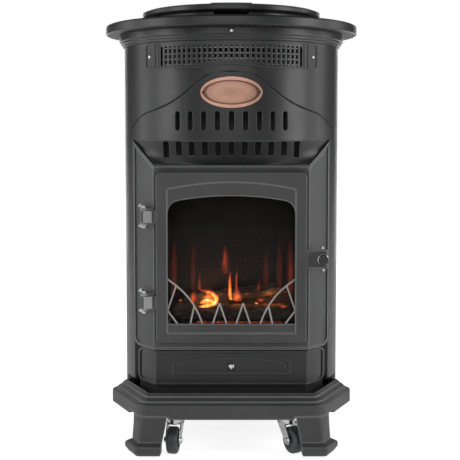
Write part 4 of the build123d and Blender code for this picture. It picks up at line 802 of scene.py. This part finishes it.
def glow_finish(name, strength, lick_size):
    """Light without a surface: the warmth written on the mesh, torn a little by noise."""
    finish, tree = new_finish(name)
    written = add(tree, "Attribute", attribute_name="warmth").outputs["Fac"]
    licks = grain(tree, lick_size, 3.0, 0.55, stretch=(1, 1, 0.35))
    torn = remap(tree, licks, 0.55, 1.1, start=0.25, end=0.65)
    colour = ramp(
        tree, compute(tree, "MULTIPLY", written, torn),
        (
            (0.0, (0.0, 0.0, 0.0)), (0.2, (0.045, 0.006, 0.003)), (0.4, (0.28, 0.03, 0.008)),
            (0.6, (0.85, 0.14, 0.015)), (0.8, (1.0, 0.45, 0.05)), (1.0, (1.0, 0.88, 0.4)),
        ),
    )
    light = add(tree, "Emission", {"Color": colour, "Strength": strength})
    lit(tree, add(tree, "BsdfTransparent"), light)
    return finish


def warmth_layer(form):
    """The mesh layer that glow_finish reads."""
    layers = form.verts.layers.float
    return layers.get("warmth") or layers.new("warmth")


def ember_line(form, low, high):
    """The glowing front edge of the ember bed, seen between the bars of the fret."""
    heat = warmth_layer(form)
    steps = 90
    left, right = low.x + 0.034, high.x - 0.004
    rows = []
    for step in range(steps + 1):
        x = left + (right - left) * step / steps
        glow = 0.5 + 0.5 * noise.noise(Vector((x * 60, 3.1, 0)))
        row = []
        for up, warmth in ((0.0, 0.15), (0.0011, 0.62), (0.0024, 0.0)):
            vert = form.verts.new((x, low.y - 0.0002, high.z - 0.0005 + up))
            vert[heat] = warmth * (0.5 + 0.6 * glow)
            row.append(vert)
        rows.append(row)
    skin(form, list(zip(*rows)))


def ember_spot(form, middle, size, warmth):
    """A ragged glowing patch, hottest in the middle, facing the user."""
    heat = warmth_layer(form)
    centre = form.verts.new(middle)
    centre[heat] = warmth
    rings = [[centre]]
    for share in (0.35, 0.7, 1.0):
        ring = []
        for x, z in compass(EMBER_SIDES):
            ragged = 1 + 0.45 * noise.noise(Vector((x * 1.7, z * 1.7, middle.x * 90)))
            reach = size * share * ragged
            swell = -0.0005 * (1 - share)
            vert = form.verts.new(middle + Vector((reach * x, swell, reach * z * EMBER_FLATNESS)))
            vert[heat] = warmth * (1 - share) ** 0.8
            ring.append(vert)
        rings.append(ring)
    skin(form, rings, closed=True)


def softened_path(path):
    """Stations between those of a flame's path, with the corners rounded off."""
    stations = [
        [a + (b - a) * step / FLAME_STEPS for a, b in zip(first, second)]
        for first, second in zip(path, path[1:]) for step in range(FLAME_STEPS)
    ]
    stations.append(list(path[-1]))
    for _ in range(FLAME_SOFTENINGS):
        inner = [
            [(p + 2 * q + r) / 4 for p, q, r in zip(before, here, after)]
            for before, here, after in zip(stations, stations[1:], stations[2:])
        ]
        stations = [stations[0], *inner, stations[-1]]
    return stations


def flame_ribbon(form, path, depth):
    """A tongue of flame along a path of (x, z, half width, heat) stations."""
    heat = warmth_layer(form)
    stations = softened_path(path)
    rows = []
    for number, (x, z, half, warmth) in enumerate(stations):
        before = stations[max(0, number - 1)]
        after = stations[min(len(stations) - 1, number + 1)]
        along = Vector((after[0] - before[0], 0, after[1] - before[1])).normalized()
        across = Vector((along.z, 0, -along.x))
        row = []
        for column in range(FLAME_COLUMNS + 1):
            side = 2 * column / FLAME_COLUMNS - 1
            fullness = 1 - side * side
            point = Vector((x, depth, z)) + across * side * half
            point.y -= FLAME_BELLY * fullness
            vert = form.verts.new(point)
            vert[heat] = warmth * fullness ** 0.9
            row.append(vert)
        rows.append(row)
    skin(form, rows)


class HEATER_OT_embers(bpy.types.Operator):
    """Bed of glowing coals over the burner"""

    bl_idname = "heater.embers"
    bl_label = "Embers"

    def execute(self, context):
        low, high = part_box("ember_bed")
        picker = random.Random(COAL_SEED)
        form = bmesh.new()

        def spread(start, end, number, count):
            """Place of a coal in its row, moved a little at random."""
            return start + (end - start) * (number + picker.uniform(-0.3, 0.3)) / (count - 1)

        for column in range(COAL_COLUMNS):
            for row in range(COAL_ROWS):
                size = picker.uniform(0.0032, 0.0052)
                centre = Vector((
                    spread(low.x + 0.006, high.x - 0.006, column, COAL_COLUMNS),
                    spread(low.y + 0.005, high.y - 0.005, row, COAL_ROWS),
                    high.z - 0.0035 + picker.uniform(-0.001, 0.0015),
                ))
                made = bmesh.ops.create_icosphere(form, subdivisions=2, radius=size)
                stretch = Vector([
                    picker.uniform(*limits) for limits in ((0.8, 1.3), (0.8, 1.2), (0.6, 0.9))
                ])
                for vert in made["verts"]:
                    rough = 1 + 0.35 * noise.noise(vert.co * 260 + centre * 90)
                    vert.co = centre + vert.co * stretch * rough
        coal = plain("dull_coal", (0.022, 0.016, 0.012), 0.95, fine=(0.003, 4.0, 0.001))
        piece = piece_from(form, "ember_coals", "cabinet", coal)
        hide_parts("ember_bed")

        form = bmesh.new()
        ember_line(form, low, high)
        for x, z, size, heat in EMBER_SPOTS:
            ember_spot(form, Vector((x, low.y - 0.006, z)), size, heat)
        glowing = glow_finish("ember_glow", context.scene.heater_fire.ember_strength, 0.004)
        piece_from(form, "ember_glows", "cabinet", glowing)
        return {"FINISHED"}


class HEATER_OT_flames(bpy.types.Operator):
    """Tongues of flame between the logs, and faint ones behind them"""

    bl_idname = "heater.flames"
    bl_label = "Flames"

    def execute(self, context):
        fire = context.scene.heater_fire
        finish = glow_finish("flame_light", fire.flame_strength, 0.009)
        for number, (depth, path) in enumerate(FLAMES):
            form = bmesh.new()
            flame_ribbon(form, path, depth)
            piece_from(form, f"flame_{number:02d}", "cabinet", finish)
        for number, (x, share) in enumerate(FIRE_LIGHTS):
            lamp = bpy.data.lights.new(f"fire_light_{number}", "POINT")
            lamp.energy = fire.lamp_power * share
            lamp.color = (1.0, 0.32, 0.08)
            lamp.shadow_soft_size = 0.012
            holder = bpy.data.objects.new(f"fire_light_{number}", lamp)
            holder.location = (x, FIRE_LIGHT_Y, FIRE_LIGHT_Z)
            context.scene.collection.objects.link(holder)
        return {"FINISHED"}


class HEATER_OT_controls(bpy.types.Operator):
    """Knob and igniter under the lid, with plain marks round the knob"""

    bl_idname = "heater.controls"
    bl_label = "Controls"

    def execute(self, context):
        plastic = enamel(
            "knob_plastic", (0.022, 0.022, 0.023), 0.48, 0.0006, depth=0.00006, wear_and_sheen=1.4,
        )
        dress(("control_knob", "igniter_body"), plastic, 0.0004)
        red = plain("button_red", (0.42, 0.02, 0.015), 0.25, fine=(0.002, 2.0, 0.00003))
        dress(("igniter_button",), red, 0.0003)

        form = bmesh.new()
        for step in range(DIAL_MARKS):
            angle = math.radians(DIAL_START + DIAL_STEP * step)
            x, y = DIAL_MIDDLE
            place = Matrix.Translation((
                x + DIAL_RADIUS * math.cos(angle), y + DIAL_RADIUS * math.sin(angle), DIAL_Z,
            ))
            size = 0.0014 + 0.0003 * step  # the marks grow towards the hottest setting
            turned(form, place, ((0, 0), (size, 0), (size, 0.0002), (0, 0.0002)), 16)
        chalky = (0.004, 3.0, ((0.3, (0.6, 0.6, 0.58)), (0.6, (0.78, 0.78, 0.76))))
        white = plain("mark_white", (0.75, 0.75, 0.73), 0.5, clouds=chalky)
        piece_from(form, "dial_marks", "cabinet", white, shade=False)
        return {"FINISHED"}


def cross_screw(form, place, radius, height):
    """A domed screw head with a cross recess."""
    spokes = compass(48)
    rings = 9
    arm_half, arm_reach, recess = radius * 0.17, radius * 0.72, height * 0.75
    loops = [[form.verts.new(place @ Vector((radius * x, radius * y, 0))) for x, y in spokes]]
    for ring in range(rings + 1):
        out = radius * (1 - ring / rings)
        dome = height * math.sqrt((1 - (out / radius) ** 2) * 0.9 + 0.1)
        loop = []
        for x, y in spokes:
            in_cross = min(abs(out * x), abs(out * y)) < arm_half and out < arm_reach
            level = dome - recess if in_cross else dome
            loop.append(form.verts.new(place @ Vector((out * x, out * y, level))))
        loops.append(loop)
    skin(form, loops, closed=True)
    bmesh.ops.remove_doubles(form, verts=loops[-1], dist=0.000001)


class HEATER_OT_screws(bpy.types.Operator):
    """Domed cross-head screws of the neck, grille and lower panel, with dark washers"""

    bl_idname = "heater.screws"
    bl_label = "Screws"

    def execute(self, context):
        heads, washers = bmesh.new(), bmesh.new()
        for reach, degrees, z, size, has_washer in SCREWS:
            place = standing_on(*on_body(reach + 0.0002, math.radians(degrees), z))
            cross_screw(heads, place, size, size * 0.55)
            if has_washer:
                outline = (
                    (size * 0.9, 0), (size * 1.5, 0), (size * 1.4, 0.0008), (size, 0.0012),
                    (size * 0.9, 0),
                )
                turned(washers, place, outline, 32)
        steel = plain("screw_steel", (0.7, 0.7, 0.71), 0.22, 1.0, fine=(0.0008, 2.0, 0.00003))
        piece = piece_from(heads, "screw_heads", "cabinet", steel)
        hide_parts("body_screws")
        black = plain("washer_black", (0.015, 0.015, 0.015), 0.55, fine=(0.001, 2.0, 0.00004))
        piece_from(washers, "screw_washers", "cabinet", black)
        return {"FINISHED"}


class HEATER_OT_castors(bpy.types.Operator):
    """Dark rubber on the castor wheels"""

    bl_idname = "heater.castors"
    bl_label = "Castors"

    def execute(self, context):
        colour = context.scene.heater_finishes.tyre_colour
        dust = (0.012, 4.0, ((0.35, scaled(colour, 0.85)), (0.7, scaled(colour, 1.5))))
        rubber = plain("castor_rubber", colour, 0.5, clouds=dust, fine=(0.002, 3.0, 0.00006))
        dress(WHEELS, rubber, 0.0)
        return {"FINISHED"}


def box_lamp(context, name, place, width, height, power):
    """A large rectangular studio lamp that faces the heater."""
    lamp = bpy.data.lights.new(name, "AREA")
    lamp.shape = "RECTANGLE"
    lamp.size, lamp.size_y = width, height
    lamp.energy = power
    holder = bpy.data.objects.new(name, lamp)
    holder.location = place
    aim = Vector(LAMP_AIM) - Vector(place)
    holder.rotation_euler = aim.to_track_quat("-Z", "Y").to_euler()
    holder.visible_camera = False
    context.scene.collection.objects.link(holder)


class HEATER_OT_stage(bpy.types.Operator):
    """White floor and surround, studio lamps and the camera"""

    bl_idname = "heater.stage"
    bl_label = "Stage"

    def execute(self, context):
        studio = context.scene.heater_studio
        scene = context.scene
        scene.view_settings.view_transform = "Standard"

        world = bpy.data.worlds.new("pale_surround")
        scene.world = world
        world.use_nodes = True
        tree = world.node_tree
        tree.nodes.clear()
        sky = add(tree, "Background", {
            "Color": (1, 1, 1, 1), "Strength": seen_as(tree, 1.0, studio.surround),
        })
        add(tree, "OutputWorld", {"Surface": sky.outputs["Background"]})

        form = bmesh.new()
        bmesh.ops.create_grid(form, x_segments=2, y_segments=2, size=FLOOR_SIZE)
        mesh = bpy.data.meshes.new("studio_floor")
        form.to_mesh(mesh)
        form.free()
        floor = bpy.data.objects.new("studio_floor", mesh)
        context.scene.collection.objects.link(floor)
        floor.location = (0, FLOOR_BACK, 0)
        finish, tree = new_finish("floor_white")
        place = add(tree, "TexCoord").outputs["Object"]
        away = add(tree, "VectorMath", {0: place, 1: (0, -FLOOR_BACK, 0)}, operation="DISTANCE")
        fade = remap(tree, away.outputs["Value"], FLOOR_SHADE, 1.0, *FLOOR_FADE)
        light = add(tree, "Emission", {
            "Color": (1, 1, 1, 1), "Strength": seen_as(tree, fade, studio.floor_bounce),
        })
        lit(tree, add(tree, "BsdfDiffuse", {"Color": (0.86, 0.86, 0.86, 1)}), light)
        mesh.materials.append(finish)

        box_lamp(context, "key_lamp", (-0.2, -2.6, 1.35), 2.4, 1.4, studio.key_power)
        for hand, side in (("left", -1), ("right", 1)):
            powers = {
                "lamp": studio.side_power * LAMP_SHARES[hand],
                "strip": studio.side_power * STRIP_SHARE,
                "rim": studio.rim_power,
            }
            for kind, apart, y, z, width in TALL_LAMPS:
                box_lamp(
                    context, f"{hand}_{kind}", (side * apart, y, z), width, TALL_LAMP_HEIGHT,
                    powers[kind],
                )

        lens = bpy.data.cameras.new("studio_camera")
        lens.lens = studio.lens
        lens.sensor_width = 36
        lens.shift_y = CAMERA_SHIFT
        lens.clip_end = 50
        camera = bpy.data.objects.new("studio_camera", lens)
        camera.location = (CAMERA_X, AXIS_Y - studio.eye_distance, studio.eye_height)
        camera.rotation_euler = (math.radians(90 - CAMERA_PITCH), 0, 0)
        context.scene.collection.objects.link(camera)
        scene.camera = camera
        return {"FINISHED"}


PIECES = (
    HEATER_OT_castings, HEATER_OT_sheets, HEATER_OT_bright_metal, HEATER_OT_badge,
    HEATER_OT_hood_shadow_gap, HEATER_OT_ironwork, HEATER_OT_window, HEATER_OT_logs,
    HEATER_OT_embers, HEATER_OT_flames, HEATER_OT_controls, HEATER_OT_screws,
    HEATER_OT_castors, HEATER_OT_stage,
)


class HEATER_PT_panel(bpy.types.Panel):
    """Sidebar list of the heater's pieces and settings"""

    bl_idname = "HEATER_PT_panel"
    bl_label = "Cabinet heater"
    bl_space_type = "VIEW_3D"
    bl_region_type = "UI"
    bl_category = "Heater"

    def draw(self, context):
        for group in ("heater_finishes", "heater_fire", "heater_studio"):
            box = self.layout.box()
            settings = getattr(context.scene, group)
            for name in settings.bl_rna.properties.keys():
                if name not in ("rna_type", "name"):
                    box.prop(settings, name)
        for piece in PIECES:
            self.layout.operator(piece.bl_idname)


CLASSES = (HeaterFinishes, HeaterFire, HeaterStudio, *PIECES, HEATER_PT_panel)


def register():
    """Registers the classes and hangs the settings on the scene."""
    for item in CLASSES:
        bpy.utils.register_class(item)
    bpy.types.Scene.heater_finishes = bpy.props.PointerProperty(type=HeaterFinishes)
    bpy.types.Scene.heater_fire = bpy.props.PointerProperty(type=HeaterFire)
    bpy.types.Scene.heater_studio = bpy.props.PointerProperty(type=HeaterStudio)


def unregister():
    """Takes the settings and classes away again."""
    del bpy.types.Scene.heater_studio
    del bpy.types.Scene.heater_fire
    del bpy.types.Scene.heater_finishes
    for item in reversed(CLASSES):
        bpy.utils.unregister_class(item)


def main():
    """Builds everything in order."""
    register()
    for piece in PIECES:
        group, name = piece.bl_idname.split(".")
        getattr(getattr(bpy.ops, group), name)()
    bpy.context.view_layer.update()


if __name__ == "__main__":
    main()
